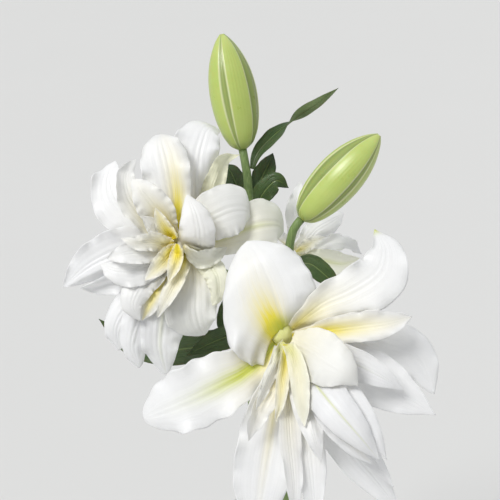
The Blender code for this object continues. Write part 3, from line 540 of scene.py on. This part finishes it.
def addMesh(name, points, faces, materials, toRow=True):
    # points are in millimetres, in the bouquet's frame or in the row's own
    points = np.asarray(points).reshape(-1, 3) * mm
    if toRow:
        turn = np.array(bouquetToRow)
        points = points @ turn[:3, :3].T + turn[:3, 3]
    mesh = bpy.data.meshes.new(name)
    mesh.from_pydata(points.tolist(), [], faces)
    for material in materials:
        mesh.materials.append(material)
    mesh.shade_smooth()
    made = bpy.data.objects.new(name, mesh)
    bpy.context.scene.collection.objects.link(made)
    return made


def gridFaces(along, across):
    row = across + 1
    return [
        (i * row + j, i * row + j + 1, (i + 1) * row + j + 1, (i + 1) * row + j)
        for i in range(along)
        for j in range(across)
    ]


def setTints(made, tints):
    layer = made.data.color_attributes.new("tint", "FLOAT_COLOR", "POINT")
    layer.data.foreach_set("color", tints.reshape(-1, 4).ravel().astype(np.float32))


def setUv(made, u, v, closed=False):
    # u across or round and v from base to tip; where a closed surface meets itself, u is carried on past one
    mesh = made.data
    places = np.stack([u.ravel(), v.ravel()], axis=1)
    corners = np.zeros(len(mesh.loops), dtype=np.int32)
    mesh.loops.foreach_get("vertex_index", corners)
    flat = places[corners]
    for face in mesh.polygons if closed else ():
        span = slice(face.loop_start, face.loop_start + face.loop_total)
        if face.loop_total == 4 and np.ptp(flat[span, 0]) > 0.5:
            flat[span, 0] += flat[span, 0] < 0.5
    layer = mesh.uv_layers.new(name="sheet")
    layer.data.foreach_set("uv", flat.ravel().astype(np.float32))


def sheetTints(look, along, across):
    t, v = sheetShares(along, across)
    yellow = look["yellow"] * np.exp(-((t / look["reach"]) ** 1.6))
    yellow = yellow * np.exp(-(((v - look["lean"]) / look["spread"]) ** 2))
    green = look["green"] * np.exp(-((t / look["greenReach"]) ** 3))
    green = green * np.exp(-((v / look["greenSpread"]) ** 2))
    green = green + look["tip"] * np.exp(-(((1 - t) / 0.03) ** 2))
    cream = np.full_like(yellow, look["cream"])
    return np.stack([yellow, green, cream, np.ones_like(yellow)], axis=-1)


def addSheet(name, grid, tints, materials, slot, thickness, thin):
    along, across = grid.shape[0] - 1, grid.shape[1] - 1
    made = addMesh(name, grid, gridFaces(along, across), materials)
    t, v = np.broadcast_arrays(*sheetShares(along, across))
    setUv(made, (v + 1) / 2, t)
    if tints is not None:
        setTints(made, tints)
    weights = (thin + (1 - thin) * (1 - np.abs(v) ** 3)) * (1 - 0.3 * t)
    group = made.vertex_groups.new(name="thickness")
    for index, weight in enumerate(weights.ravel()):
        group.add([index], float(weight), "REPLACE")
    solid = made.modifiers.new("thickness", "SOLIDIFY")
    solid.thickness = thickness * mm
    solid.offset = 0
    solid.vertex_group = "thickness"
    solid.material_offset = 1
    solid.material_offset_rim = 0
    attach(made, "root")
    return made


def newGroup(name, inputs, outputs):
    # an empty shader node group with named sockets
    tree = bpy.data.node_groups.new(name, "ShaderNodeTree")
    for label, kind, start in inputs:
        socket = tree.interface.new_socket(label, in_out="INPUT", socket_type=kind)
        if start is not None:
            socket.default_value = start
    for label, kind in outputs:
        tree.interface.new_socket(label, in_out="OUTPUT", socket_type=kind)
    return tree, tree.nodes.new("NodeGroupInput").outputs, tree.nodes.new("NodeGroupOutput").inputs


def give(tree, socket, value):
    # a socket takes another socket's value or a constant
    if isinstance(value, bpy.types.NodeSocket):
        tree.links.new(value, socket)
    elif value is not None:
        socket.default_value = value


def math1(tree, what, *values):
    node = tree.nodes.new("ShaderNodeMath")
    node.operation = what
    for socket, value in zip(node.inputs, values):
        give(tree, socket, value)
    return node.outputs[0]


def times(tree, first, second):
    return math1(tree, "MULTIPLY", first, second)


def plus(tree, first, second):
    return math1(tree, "ADD", first, second)


def mixed(tree, share, first, second):
    node = tree.nodes.new("ShaderNodeMix")
    node.data_type = "RGBA"
    for at, value in ((0, share), (6, first), (7, second)):
        give(tree, node.inputs[at], value)
    return node.outputs[2]


def ranged(tree, value, low, high, toLow, toHigh):
    node = tree.nodes.new("ShaderNodeMapRange")
    for socket, number in zip(node.inputs, (value, low, high, toLow, toHigh)):
        give(tree, socket, number)
    return node.outputs[0]


def noise(tree, place, scale, detail=3, rough=0.5):
    node = tree.nodes.new("ShaderNodeTexNoise")
    give(tree, node.inputs["Vector"], place)
    give(tree, node.inputs["Scale"], scale)
    node.inputs["Detail"].default_value = detail
    node.inputs["Roughness"].default_value = rough
    return node.outputs["Fac"]


def stretched(tree, place, scale):
    node = tree.nodes.new("ShaderNodeVectorMath")
    node.operation = "MULTIPLY"
    give(tree, node.inputs[0], place)
    give(tree, node.inputs[1], scale)
    return node.outputs[0]


def makeVeins():
    # long veins that follow a sheet from its base to its tip, on the sheet's uv map
    tree, given, out = newGroup(
        "longVeins",
        [("Sheet", "NodeSocketVector", None), ("Count", "NodeSocketFloat", 30),
         ("Wander", "NodeSocketFloat", 0.5)],
        [("Height", "NodeSocketFloat"), ("Line", "NodeSocketFloat")],
    )
    split = tree.nodes.new("ShaderNodeSeparateXYZ")
    tree.links.new(given["Sheet"], split.inputs[0])
    wander = noise(tree, stretched(tree, given["Sheet"], (5, 3, 1)), 1.0, 2)
    across = times(tree, split.outputs[0], given["Count"])
    across = plus(tree, across, times(tree, wander, given["Wander"]))
    wave = math1(tree, "SINE", times(tree, across, 2 * math.pi))
    fine = math1(tree, "SINE", times(tree, across, 2 * math.pi * 2.7))
    height = plus(tree, times(tree, wave, 0.3), times(tree, fine, 0.2))
    patches = noise(tree, stretched(tree, given["Sheet"], (9, 2.5, 1)), 1.0, 2)
    height = times(tree, height, ranged(tree, patches, 0.35, 0.65, 0.15, 1.0))
    height = plus(tree, height, 0.5)
    tree.links.new(height, out["Height"])
    tree.links.new(ranged(tree, height, 0.2, 0.05, 0.0, 1.0), out["Line"])
    return tree


def makeGrain():
    # small cells and soft mottling, in the object's own space
    tree, given, out = newGroup(
        "fineGrain",
        [("Place", "NodeSocketVector", None), ("Size", "NodeSocketFloat", 0.001),
         ("Mottle Size", "NodeSocketFloat", 0.02)],
        [("Height", "NodeSocketFloat"), ("Mottle", "NodeSocketFloat")],
    )
    tree.links.new(noise(tree, given["Place"], math1(tree, "DIVIDE", 1, given["Size"]), 3), out["Height"])
    soft = noise(tree, given["Place"], math1(tree, "DIVIDE", 1, given["Mottle Size"]), 4, 0.55)
    tree.links.new(ranged(tree, soft, 0.3, 0.7, 0.0, 1.0), out["Mottle"])
    return tree


def placeGroup(tree, group, **values):
    node = tree.nodes.new("ShaderNodeGroup")
    node.node_tree = group
    for label, value in values.items():
        give(tree, node.inputs[label.replace("_", " ")], value)
    return node.outputs


def newMaterial(name, **plain):
    # a material with its Principled BSDF, and constant values set on its own sockets
    material = bpy.data.materials.new(name)
    material.use_nodes = True
    tree = material.node_tree
    shader = tree.nodes["Principled BSDF"]
    for label, value in plain.items():
        shader.inputs[label.replace("_", " ")].default_value = value
    return material, tree, shader


def joinUp(tree, shader, colour, roughness, height, distance):
    # the material's colour, roughness and relief
    node = tree.nodes.new("ShaderNodeBump")
    node.inputs["Distance"].default_value = distance
    node.inputs["Strength"].default_value = 1.0
    tree.links.new(height, node.inputs["Height"])
    tree.links.new(node.outputs[0], shader.inputs["Normal"])
    tree.links.new(colour, shader.inputs["Base Color"])
    tree.links.new(roughness, shader.inputs["Roughness"])


def veinsAndGrain(tree, paint):
    uv = tree.nodes.new("ShaderNodeUVMap")
    uv.uv_map = "sheet"
    sheet, place = uv.outputs[0], tree.nodes.new("ShaderNodeTexCoord").outputs["Object"]
    veins = placeGroup(tree, veinGroup, Sheet=sheet, Count=paint["veins"], Wander=paint["wander"])
    grain = placeGroup(tree, grainGroup, Place=place, Size=paint["grain"], Mottle_Size=paint["mottle"])
    return sheet, veins, grain


def tintShares(tree):
    # the three colours that belong to places on a mesh
    tint = tree.nodes.new("ShaderNodeVertexColor")
    tint.layer_name = "tint"
    split = tree.nodes.new("ShaderNodeSeparateColor")
    tree.links.new(tint.outputs[0], split.inputs[0])
    return split.outputs


petalPaint = dict(
    white=(0.91, 0.91, 0.915, 1), shade=(0.82, 0.825, 0.835, 1), yellow=(0.9, 0.72, 0.035, 1),
    green=(0.54, 0.6, 0.06, 1), cream=(0.88, 0.87, 0.53, 1), veins=19, wander=1.4, roughness=(0.4, 0.54),
    grain=0.0007, mottle=0.016, mottled=0.5, lined=0.35, uneven=(1.1, 0.6), stripe=0.75, cells=0.35,
    relief=0.00007, through=0.45,
)


def petalMaterial(name, paint, reverse):
    material, tree, shader = newMaterial(
        name, Subsurface_Weight=paint["through"], Subsurface_Scale=0.004, Specular_IOR_Level=0.4,
    )
    shader.inputs["Subsurface Radius"].default_value = (1.0, 0.97, 0.9)
    _, veins, grain = veinsAndGrain(tree, paint)
    yellow, green, cream = tintShares(tree)
    colour = mixed(tree, times(tree, grain["Mottle"], paint["mottled"]), paint["white"], paint["shade"])
    colour = mixed(tree, times(tree, veins["Line"], paint["lined"]), colour, paint["shade"])
    colour = mixed(tree, cream, colour, paint["cream"])
    least, more = paint["uneven"]
    uneven = plus(tree, least, times(tree, veins["Height"], more))
    warm = math1(tree, "MINIMUM", times(tree, yellow, uneven), 1.0)
    colour = mixed(tree, warm, colour, paint["yellow"])
    stripe = times(tree, green, times(tree, uneven, 1.0 if reverse else paint["stripe"]))
    colour = mixed(tree, math1(tree, "MINIMUM", stripe, 1.0), colour, paint["green"])
    rough = ranged(tree, grain["Mottle"], 0, 1, *paint["roughness"])
    relief = plus(tree, veins["Height"], times(tree, grain["Height"], paint["cells"]))
    joinUp(tree, shader, colour, rough, relief, paint["relief"])
    return material


leafPaint = dict(
    blade=(0.038, 0.078, 0.02, 1), light=(0.085, 0.14, 0.036, 1), rib=(0.18, 0.26, 0.08, 1),
    under=(0.17, 0.24, 0.09, 1), veins=13, wander=0.35, grain=0.0009, mottle=0.012, relief=0.0004,
    mottled=0.6, lined=0.55, cells=0.4, ribbed=0.7, ribEdges=(0.012, 0.045), ribDepth=1.2,
    roughness=(0.3, 0.45), underRoughness=(0.5, 0.62),
)


def leafMaterial(name, paint, reverse):
    material, tree, shader = newMaterial(
        name, Subsurface_Weight=0.06, Subsurface_Scale=0.002, Specular_IOR_Level=0.5,
    )
    sheet, veins, grain = veinsAndGrain(tree, paint)
    split = tree.nodes.new("ShaderNodeSeparateXYZ")
    tree.links.new(sheet, split.inputs[0])
    blade = paint["under"] if reverse else paint["blade"]
    colour = mixed(tree, times(tree, grain["Mottle"], paint["mottled"]), blade, paint["light"])
    colour = mixed(tree, times(tree, veins["Line"], paint["lined"]), colour, paint["light"])
    fromRib = math1(tree, "ABSOLUTE", math1(tree, "SUBTRACT", split.outputs[0], 0.5))
    rib = ranged(tree, fromRib, *paint["ribEdges"], 1.0, 0.0)
    colour = mixed(tree, times(tree, rib, paint["ribbed"]), colour, paint["rib"])
    rough = ranged(tree, grain["Mottle"], 0, 1, *paint["underRoughness" if reverse else "roughness"])
    relief = plus(tree, veins["Height"], times(tree, grain["Height"], paint["cells"]))
    relief = math1(tree, "SUBTRACT", relief, times(tree, rib, paint["ribDepth"]))
    joinUp(tree, shader, colour, rough, relief, paint["relief"])
    return material


budPaint = dict(
    skin=(0.43, 0.53, 0.13, 1), pale=(0.6, 0.67, 0.25, 1), deep=(0.2, 0.26, 0.07, 1),
    seam=(0.74, 0.77, 0.46, 1), veins=40, wander=0.4, roughness=(0.26, 0.36), grain=0.0008, mottle=0.014,
    mottled=0.22, lined=0.12, cells=0.3, relief=0.0001,
)


def budMaterial(name, paint):
    material, tree, shader = newMaterial(
        name, Subsurface_Weight=0.12, Subsurface_Scale=0.004, Specular_IOR_Level=0.5,
    )
    _, veins, grain = veinsAndGrain(tree, paint)
    seam, dark, pale = tintShares(tree)
    colour = mixed(tree, times(tree, grain["Mottle"], paint["mottled"]), paint["skin"], paint["pale"])
    # the pale share holds the bud's paler tip and a painted highlight along each strip's rib, where the deep
    # share is also lessened
    colour = mixed(tree, pale, colour, paint["pale"])
    colour = mixed(tree, dark, colour, paint["deep"])
    colour = mixed(tree, times(tree, veins["Line"], paint["lined"]), colour, paint["pale"])
    colour = mixed(tree, seam, colour, paint["seam"])
    rough = ranged(tree, grain["Mottle"], 0, 1, *paint["roughness"])
    relief = plus(tree, veins["Height"], times(tree, grain["Height"], paint["cells"]))
    joinUp(tree, shader, colour, rough, relief, paint["relief"])
    return material


stemPaint = dict(
    skin=(0.16, 0.25, 0.075, 1), pale=(0.31, 0.41, 0.16, 1), dark=(0.065, 0.115, 0.035, 1), grain=0.0008,
    mottle=0.02, streaks=(900, 900, 18), roughness=(0.36, 0.56), mottled=0.4, cells=0.4,
    relief=0.0003,
)


def stemMaterial(name, paint):
    material, tree, shader = newMaterial(name, Specular_IOR_Level=0.45)
    place = tree.nodes.new("ShaderNodeTexCoord").outputs["Object"]
    grain = placeGroup(tree, grainGroup, Place=place, Size=paint["grain"], Mottle_Size=paint["mottle"])
    streaks = noise(tree, stretched(tree, place, paint["streaks"]), 1.0, 3)
    colour = mixed(tree, ranged(tree, streaks, 0.35, 0.7, 0.0, 0.8), paint["skin"], paint["pale"])
    colour = mixed(tree, times(tree, grain["Mottle"], paint["mottled"]), colour, paint["dark"])
    rough = ranged(tree, streaks, 0, 1, *paint["roughness"])
    relief = plus(tree, streaks, times(tree, grain["Height"], paint["cells"]))
    joinUp(tree, shader, colour, rough, relief, paint["relief"])
    return material


glazePaint = dict(
    body=(0.075, 0.095, 0.105, 1), light=(0.2, 0.235, 0.24, 1), worn=(0.36, 0.33, 0.28, 1),
    speck=(0.03, 0.03, 0.032, 1), clay=(0.5, 0.43, 0.34, 1), grain=0.0012, mottle=0.03, runs=(55, 55, 12),
    drift=0.006, runDepth=1.5, specks=420, mottled=0.3, cells=0.25, roughness=(0.16, 0.3), relief=0.0005,
    lip=(0.2385, 0.2435), foot=(0.0052, 0.0058),  # heights in metres over which the glaze changes
)


def glazeMaterial(name, paint):
    material, tree, shader = newMaterial(name, Coat_Roughness=0.06, Coat_IOR=1.5, Specular_IOR_Level=0.5)
    coordinates = tree.nodes.new("ShaderNodeTexCoord").outputs["Object"]
    split = tree.nodes.new("ShaderNodeSeparateXYZ")
    tree.links.new(coordinates, split.inputs[0])
    grain = placeGroup(tree, grainGroup, Place=coordinates, Size=paint["grain"], Mottle_Size=paint["mottle"])
    runs = noise(tree, stretched(tree, coordinates, paint["runs"]), 1.0, 5, 0.6)
    specks = noise(tree, coordinates, paint["specks"], 1)
    colour = mixed(tree, ranged(tree, runs, 0.35, 0.68, 0.0, 1.0), paint["body"], paint["light"])
    colour = mixed(tree, times(tree, grain["Mottle"], paint["mottled"]), colour, paint["light"])
    colour = mixed(tree, ranged(tree, specks, 0.68, 0.74, 0.0, 0.8), colour, paint["speck"])
    # the glaze breaks to a warmer tone over the lip, and stops short of the foot
    height = plus(tree, split.outputs[2], times(tree, runs, paint["drift"]))
    lip = ranged(tree, height, *paint["lip"], 0.0, 0.85)
    colour = mixed(tree, lip, colour, paint["worn"])
    bare = ranged(tree, height, *paint["foot"], 1.0, 0.0)
    colour = mixed(tree, bare, colour, paint["clay"])
    gloss = math1(tree, "SUBTRACT", 1.0, bare)
    tree.links.new(times(tree, gloss, 0.7), shader.inputs["Coat Weight"])
    rough = plus(tree, ranged(tree, runs, 0.3, 0.7, *paint["roughness"]), times(tree, bare, 0.5))
    relief = plus(tree, times(tree, runs, paint["runDepth"]), times(tree, grain["Height"], paint["cells"]))
    joinUp(tree, shader, colour, rough, relief, paint["relief"])
    return material


veinGroup = makeVeins()
grainGroup = makeGrain()
petalFace = petalMaterial("petal face", petalPaint, False)
petalBack = petalMaterial("petal back", petalPaint, True)
leafFace = leafMaterial("leaf face", leafPaint, False)
leafBack = leafMaterial("leaf back", leafPaint, True)
budSkin = budMaterial("bud skin", budPaint)
stemSkin = stemMaterial("stem skin", stemPaint)
glaze = glazeMaterial("smoky glaze", glazePaint)
print("materials made")

# greatest thickness in mm, the margin's share of it, and the leaves' rows and columns
petalSheet = dict(thickness=0.55, thin=0.3)
leafSheet = dict(thickness=0.6, thin=0.45)
leafCounts = (56, 20)

for name, grid, look in layOutPetals():
    tints = sheetTints(look, grid.shape[0] - 1, grid.shape[1] - 1)
    petal = addSheet(name + "_petal", grid, tints, [petalFace, petalBack], "petal", **petalSheet)
    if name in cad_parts:
        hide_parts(name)
print("petals laid out")


def makeLeaves():
    for number, (name, (points, halves, changes)) in enumerate(leaves.items()):
        shape = dict(leafPlain, grow=number * growStep, **changes)
        grid = fineSheet(points, halves, shape, *leafCounts)
        leaf = addSheet(name + "_blade", grid, None, [leafFace, leafBack], "leaf", **leafSheet)
        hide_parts(name)


makeLeaves()
print("leaves made")


def roundShares(along, around):
    return np.broadcast_arrays(np.arange(around) / around, np.linspace(0, 1, along + 1)[:, None])


def tube(rings):
    rings = rings[:, :-1]
    count, sides = rings.shape[:2]
    faces = [
        (i * sides + j, (i + 1) * sides + j, (i + 1) * sides + (j + 1) % sides, i * sides + (j + 1) % sides)
        for i in range(count - 1)
        for j in range(sides)
    ]
    faces.append(tuple(range(sides)))
    faces.append(tuple((count - 1) * sides + j for j in reversed(range(sides))))
    return rings.reshape(-1, 3), faces


# points along a fine line, rings picked from it (closer together at the upper end), and slight knots
stemMaking = dict(line=600, rings=90, bunching=0.8, knots=61, knotHeight=0.02, stalkRings=40, around=20)


def makeStems():
    # each stem grows into its bud's stalk, and its blooms' stalks are joined to it
    for name, stem in stems.items():
        high = [np.array(bouquetToRow @ (Vector(p) * mm)) / mm for p in stem["high"]]
        steps, rings, around = (stemMaking[k] for k in ("line", "stalkRings", "around"))
        line = smoothLine([*stem["low"], *high], steps + 1)
        shares = np.linspace(0, 1, stemMaking["rings"]) ** stemMaking["bunching"]
        knots = 1 + stemMaking["knotHeight"] * np.sin(shares * stemMaking["knots"]) ** 8
        radii = np.interp(shares, stemShares, stemRadii) * knots
        picked = line[np.round(steps * shares).astype(int)]
        trunk = addMesh(name + "_skin", *tube(tubeRings(picked, radii, around)), [stemSkin], toRow=False)
        for points in stem["stalks"]:
            radii = np.interp(np.linspace(0, 1, rings), stalkShares, stalkRadii)
            stalk = tubeRings(smoothLine(points, rings), radii, around)
            stalk = addMesh("stalk", *tube(stalk), [stemSkin])
            join = trunk.modifiers.new("stalk", "BOOLEAN")
            join.operation = "UNION"
            join.object = stalk
            bpy.context.view_layer.objects.active = trunk
            bpy.ops.object.modifier_apply(modifier="stalk")
            bpy.data.objects.remove(stalk)
        trunk.data.shade_smooth()
        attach(trunk, "root")
        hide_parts(name)


makeStems()
print("stems made")

budMaking = dict(
    along=90, around=180, lobe=0.035,
    joined=0.7,  # how far the foot reaches down over the stalk's end
    outline=[(0, 0.2), (0.03, 0.42), (0.1, 0.66), (0.22, 0.87), (0.4, 1), (0.58, 0.98), (0.74, 0.82),
             (0.87, 0.56), (0.96, 0.28), (1, 0.1)],
    # a strip of the inner tepals shows between the outer ones, sunk between their pale edges
    stripDepth=0.045, rib=0.024, edgeHeight=0.018, edgeWidth=2.2, soft=1.0,
)
# base, tip, greatest radius, turn, and each strip's middle and half width in degrees from the front
buds = dict(
    bud_upright=((-5.5, 74, -12), (-20.4, 156, -4), 17, 20, ((-30, 9), (51, 19), (165, 15))),
    bud_leaning=((37, 22.6, 14), (91, 81, 24), 16.5, 75, ((-57, 20), (34, 9), (165, 15))),
)


def budStrips(front, t, strips):
    # how far each place lies in a strip, on its rib and on the edges beside it
    inside, rib, edge = (np.zeros((len(t), len(front))) for _ in range(3))
    for middle, half in strips:
        half = half * (0.6 + 0.4 * np.sin(math.pi * t)[:, None])
        away = np.abs((front - middle + 180) % 360 - 180)[None, :]
        within = 1 / (1 + np.exp((away - half) / budMaking["soft"]))
        inside = inside + within
        rib = rib + within * np.exp(-((away / (half * 0.55)) ** 2))
        edge = edge + np.exp(-(((away - half) / budMaking["edgeWidth"]) ** 2))
    return inside, rib, edge


def makeBuds():
    along, around = budMaking["along"], budMaking["around"]
    t = np.linspace(0, 1, along + 1)
    table = np.array(budMaking["outline"])
    radius = hermite(table[:, 1:], table[:, 0], t)[:, 0]
    angles = np.linspace(0, 360, around + 1)
    for name, (base, tip, size, turn, strips) in buds.items():
        base, tip = np.asarray(base, float), np.asarray(tip, float)
        base = base - budMaking["joined"] * unit(tip - base)
        line = base + t[:, None] * (tip - base)
        rings = tubeRings(line, size * radius, around)
        inside, rib, edge = budStrips(90 - angles, t, strips)
        lobe = budMaking["lobe"] * np.cos(np.radians(3 * (angles - turn)))
        ends = np.clip(t * 6, 0, 1)[:, None] * np.clip((1 - t) * 12, 0.3, 1)[:, None]
        swell = lobe + budMaking["edgeHeight"] * edge + budMaking["rib"] * rib
        swell = swell - budMaking["stripDepth"] * inside
        rings = line[:, None] + (rings - line[:, None]) * (1 + swell * ends)[..., None]
        bud = addMesh(name + "_skin", *tube(rings), [budSkin])
        closeness = np.sin(math.pi * t)[:, None] ** 0.3
        seam = 0.8 * edge * closeness
        # the strips and the foot are a deeper green and the tip is paler, the bud's own colour; the rib down
        # each strip is painted lighter (less deep, more pale) as a painted highlight
        dark = 0.95 * inside - 0.3 * rib + 0.35 * np.exp(-((t / 0.07) ** 2))[:, None]
        pale = 0.4 * np.exp(-(((1 - t) / 0.16) ** 2))[:, None] + 0.15 * rib
        tints = np.stack([seam, np.clip(dark, 0, 1), np.clip(pale, 0, 1), np.ones_like(seam)], axis=-1)
        setTints(bud, tints[:, :-1])
        setUv(bud, *roundShares(along, around), closed=True)
        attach(bud, "root")
        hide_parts(name)


makeBuds()
print("buds made")

# the flower's end fills the middle of each bloom: radius at each height past the stalk's end, as shares
throatMaking = dict(
    outline=[(-0.2, 0.8), (0, 1), (0.25, 1.06), (0.5, 0.96), (0.75, 0.72), (0.92, 0.4), (1, 0.1)],
    along=24, around=40, ribs=0.05,
    sizes=[(7.4, 16, 0.1), (8.2, 9, 0.5), (5.6, 9, 0.3)],  # each stalk's radius, height and share of green
)


def makeThroats():
    along, around = throatMaking["along"], throatMaking["around"]
    lines = [points for stem in stems.values() for points in stem["stalks"]]
    shares, radii = np.array(throatMaking["outline"]).T
    places = np.linspace(shares[0], shares[-1], along + 1)
    angles = np.linspace(0, 2 * math.pi, around + 1)
    for number, (points, (radius, height, green)) in enumerate(zip(lines, throatMaking["sizes"])):
        end, before = np.array(points[-1], float), np.array(points[-2], float)
        line = end + unit(end - before) * height * places[:, None]
        rings = tubeRings(line, radius * np.interp(places, shares, radii), around)
        swell = 1 + throatMaking["ribs"] * np.cos(6 * angles)
        rings = line[:, None] + (rings - line[:, None]) * swell[None, :, None]
        throat = addMesh(f"throat_{number + 1}", *tube(rings), [petalFace])
        warm = np.clip(places, 0, 1)[:, None] * np.ones(around)
        setTints(throat, np.stack([(0.35 - 0.5 * green) * np.ones_like(warm), green - 0.1 * warm,
                                   0.8 * np.ones_like(warm), np.ones_like(warm)], axis=-1))
        setUv(throat, *roundShares(along, around), closed=True)
        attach(throat, "root")


makeThroats()
print("throats made")

vaseMaking = dict(
    outline=[(0, 44), (3, 47), (30, 54), (80, 60), (130, 58), (180, 48), (212, 42), (234, 45), (240, 47)],
    points=70, steps=144, wall=5, floor=8, corner=4, ringWidth=7, ringSlope=1.5, ringDepth=1.6, lipHeight=1.5,
    markDepth=0.12, marks=0.9, markRise=20,  # turning marks that fade in above the foot
    sharp=50,
)


def makeVase():
    heights, radii = zip(*vaseMaking["outline"])
    outside = smoothLine([(r, 0, z) for z, r in vaseMaking["outline"]], vaseMaking["points"])[:, [0, 2]]
    wall, top, bend, bottom = vaseMaking["wall"], heights[-1], vaseMaking["corner"], vaseMaking["floor"]
    depth, marks, rise = (vaseMaking[k] for k in ("markDepth", "marks", "markRise"))
    outside = [(r + depth * math.sin(z * marks) * min(1, z / rise), z) for r, z in outside]
    lip = [
        (radii[-1] - wall / 2 + wall / 2 * math.cos(a), top + vaseMaking["lipHeight"] * math.sin(a))
        for a in np.linspace(0, math.pi, 9)[1:-1]
    ]
    inside = [(r - wall, z) for r, z in outside[::-1] if z > bottom + bend]
    corner = [(inside[-1][0] - bend * (1 - math.cos(a)), bottom + bend - bend * math.sin(a))
              for a in np.linspace(0, math.pi / 2, 6)[1:]]
    edge = radii[0] - vaseMaking["ringWidth"]
    ring = [(edge, 0), (edge - vaseMaking["ringSlope"], vaseMaking["ringDepth"])]
    profile = [*reversed(ring), *outside, *lip, *inside, *corner]
    count, steps = len(profile), vaseMaking["steps"]
    points = [
        (r * math.cos(a), r * math.sin(a), z)
        for a in np.linspace(0, 2 * math.pi, steps, endpoint=False)
        for r, z in profile
    ]
    faces = [
        (i * count + j, (i + 1) % steps * count + j, (i + 1) % steps * count + j + 1, i * count + j + 1)
        for i in range(steps)
        for j in range(count - 1)
    ]
    faces.append(tuple(i * count for i in reversed(range(steps))))
    faces.append(tuple(i * count + count - 1 for i in range(steps)))
    vase = addMesh("vase_body", points, faces, [glaze], toRow=False)
    vase.data.set_sharp_from_angle(angle=math.radians(vaseMaking["sharp"]))
    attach(vase, "root")
    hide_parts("vase")


makeVase()
print("vase made")

studio = dict(
    floorSize=14, floor=(0.66, 0.66, 0.65, 1), mottled=0.985, world=(0.95, 0.97, 1, 1), worldStrength=0.48,
    lights=dict(
        key=dict(place=(-0.9, -1.0, 1.5), energy=2.4, angle=24, colour=(1, 0.99, 0.97)),
        back=dict(place=(0.9, 1.1, 1.2), energy=0.5, angle=50, colour=(0.97, 0.98, 1)),
    ),
    camera=dict(distance=1.10, frameWidth=0.36, sensor=36),
)


def makeStudio():
    heart = bouquetToRow.translation
    bpy.ops.mesh.primitive_plane_add(size=studio["floorSize"], location=(0, 0, 0))
    floor = bpy.context.object
    floor.name = "floor"
    material, tree, shader = newMaterial("pale floor", Roughness=0.7)
    place = tree.nodes.new("ShaderNodeTexCoord").outputs["Object"]
    soft = noise(tree, place, 3, 4)
    shade = tuple(c * studio["mottled"] for c in studio["floor"][:3]) + (1,)
    tree.links.new(mixed(tree, soft, studio["floor"], shade), shader.inputs["Base Color"])
    floor.data.materials.append(material)
    for name, light in studio["lights"].items():
        data = bpy.data.lights.new(name, "SUN")
        data.energy, data.angle, data.color = light["energy"], math.radians(light["angle"]), light["colour"]
        lamp = bpy.data.objects.new(name, data)
        bpy.context.scene.collection.objects.link(lamp)
        lamp.location = light["place"]
        lamp.rotation_mode = "QUATERNION"
        lamp.rotation_quaternion = (-lamp.location).to_track_quat("-Z", "Y")
    world = bpy.data.worlds.new("studio")
    bpy.context.scene.world = world
    world.use_nodes = True
    sky = world.node_tree.nodes["Background"]
    sky.inputs[0].default_value = studio["world"]
    sky.inputs[1].default_value = studio["worldStrength"]
    data = bpy.data.cameras.new("camera")
    view = studio["camera"]
    data.sensor_width = view["sensor"]
    data.lens = view["sensor"] * view["distance"] / view["frameWidth"]
    camera = bpy.data.objects.new("camera", data)
    bpy.context.scene.collection.objects.link(camera)
    lean = math.radians(bouquet["lean"])
    back = Vector((0, -math.cos(lean), math.sin(lean)))
    camera.location = heart + back * view["distance"]
    camera.rotation_mode = "QUATERNION"
    camera.rotation_quaternion = (-back).to_track_quat("-Z", "Y")
    bpy.context.scene.camera = camera
    bpy.context.scene.view_settings.view_transform = "Standard"


makeStudio()
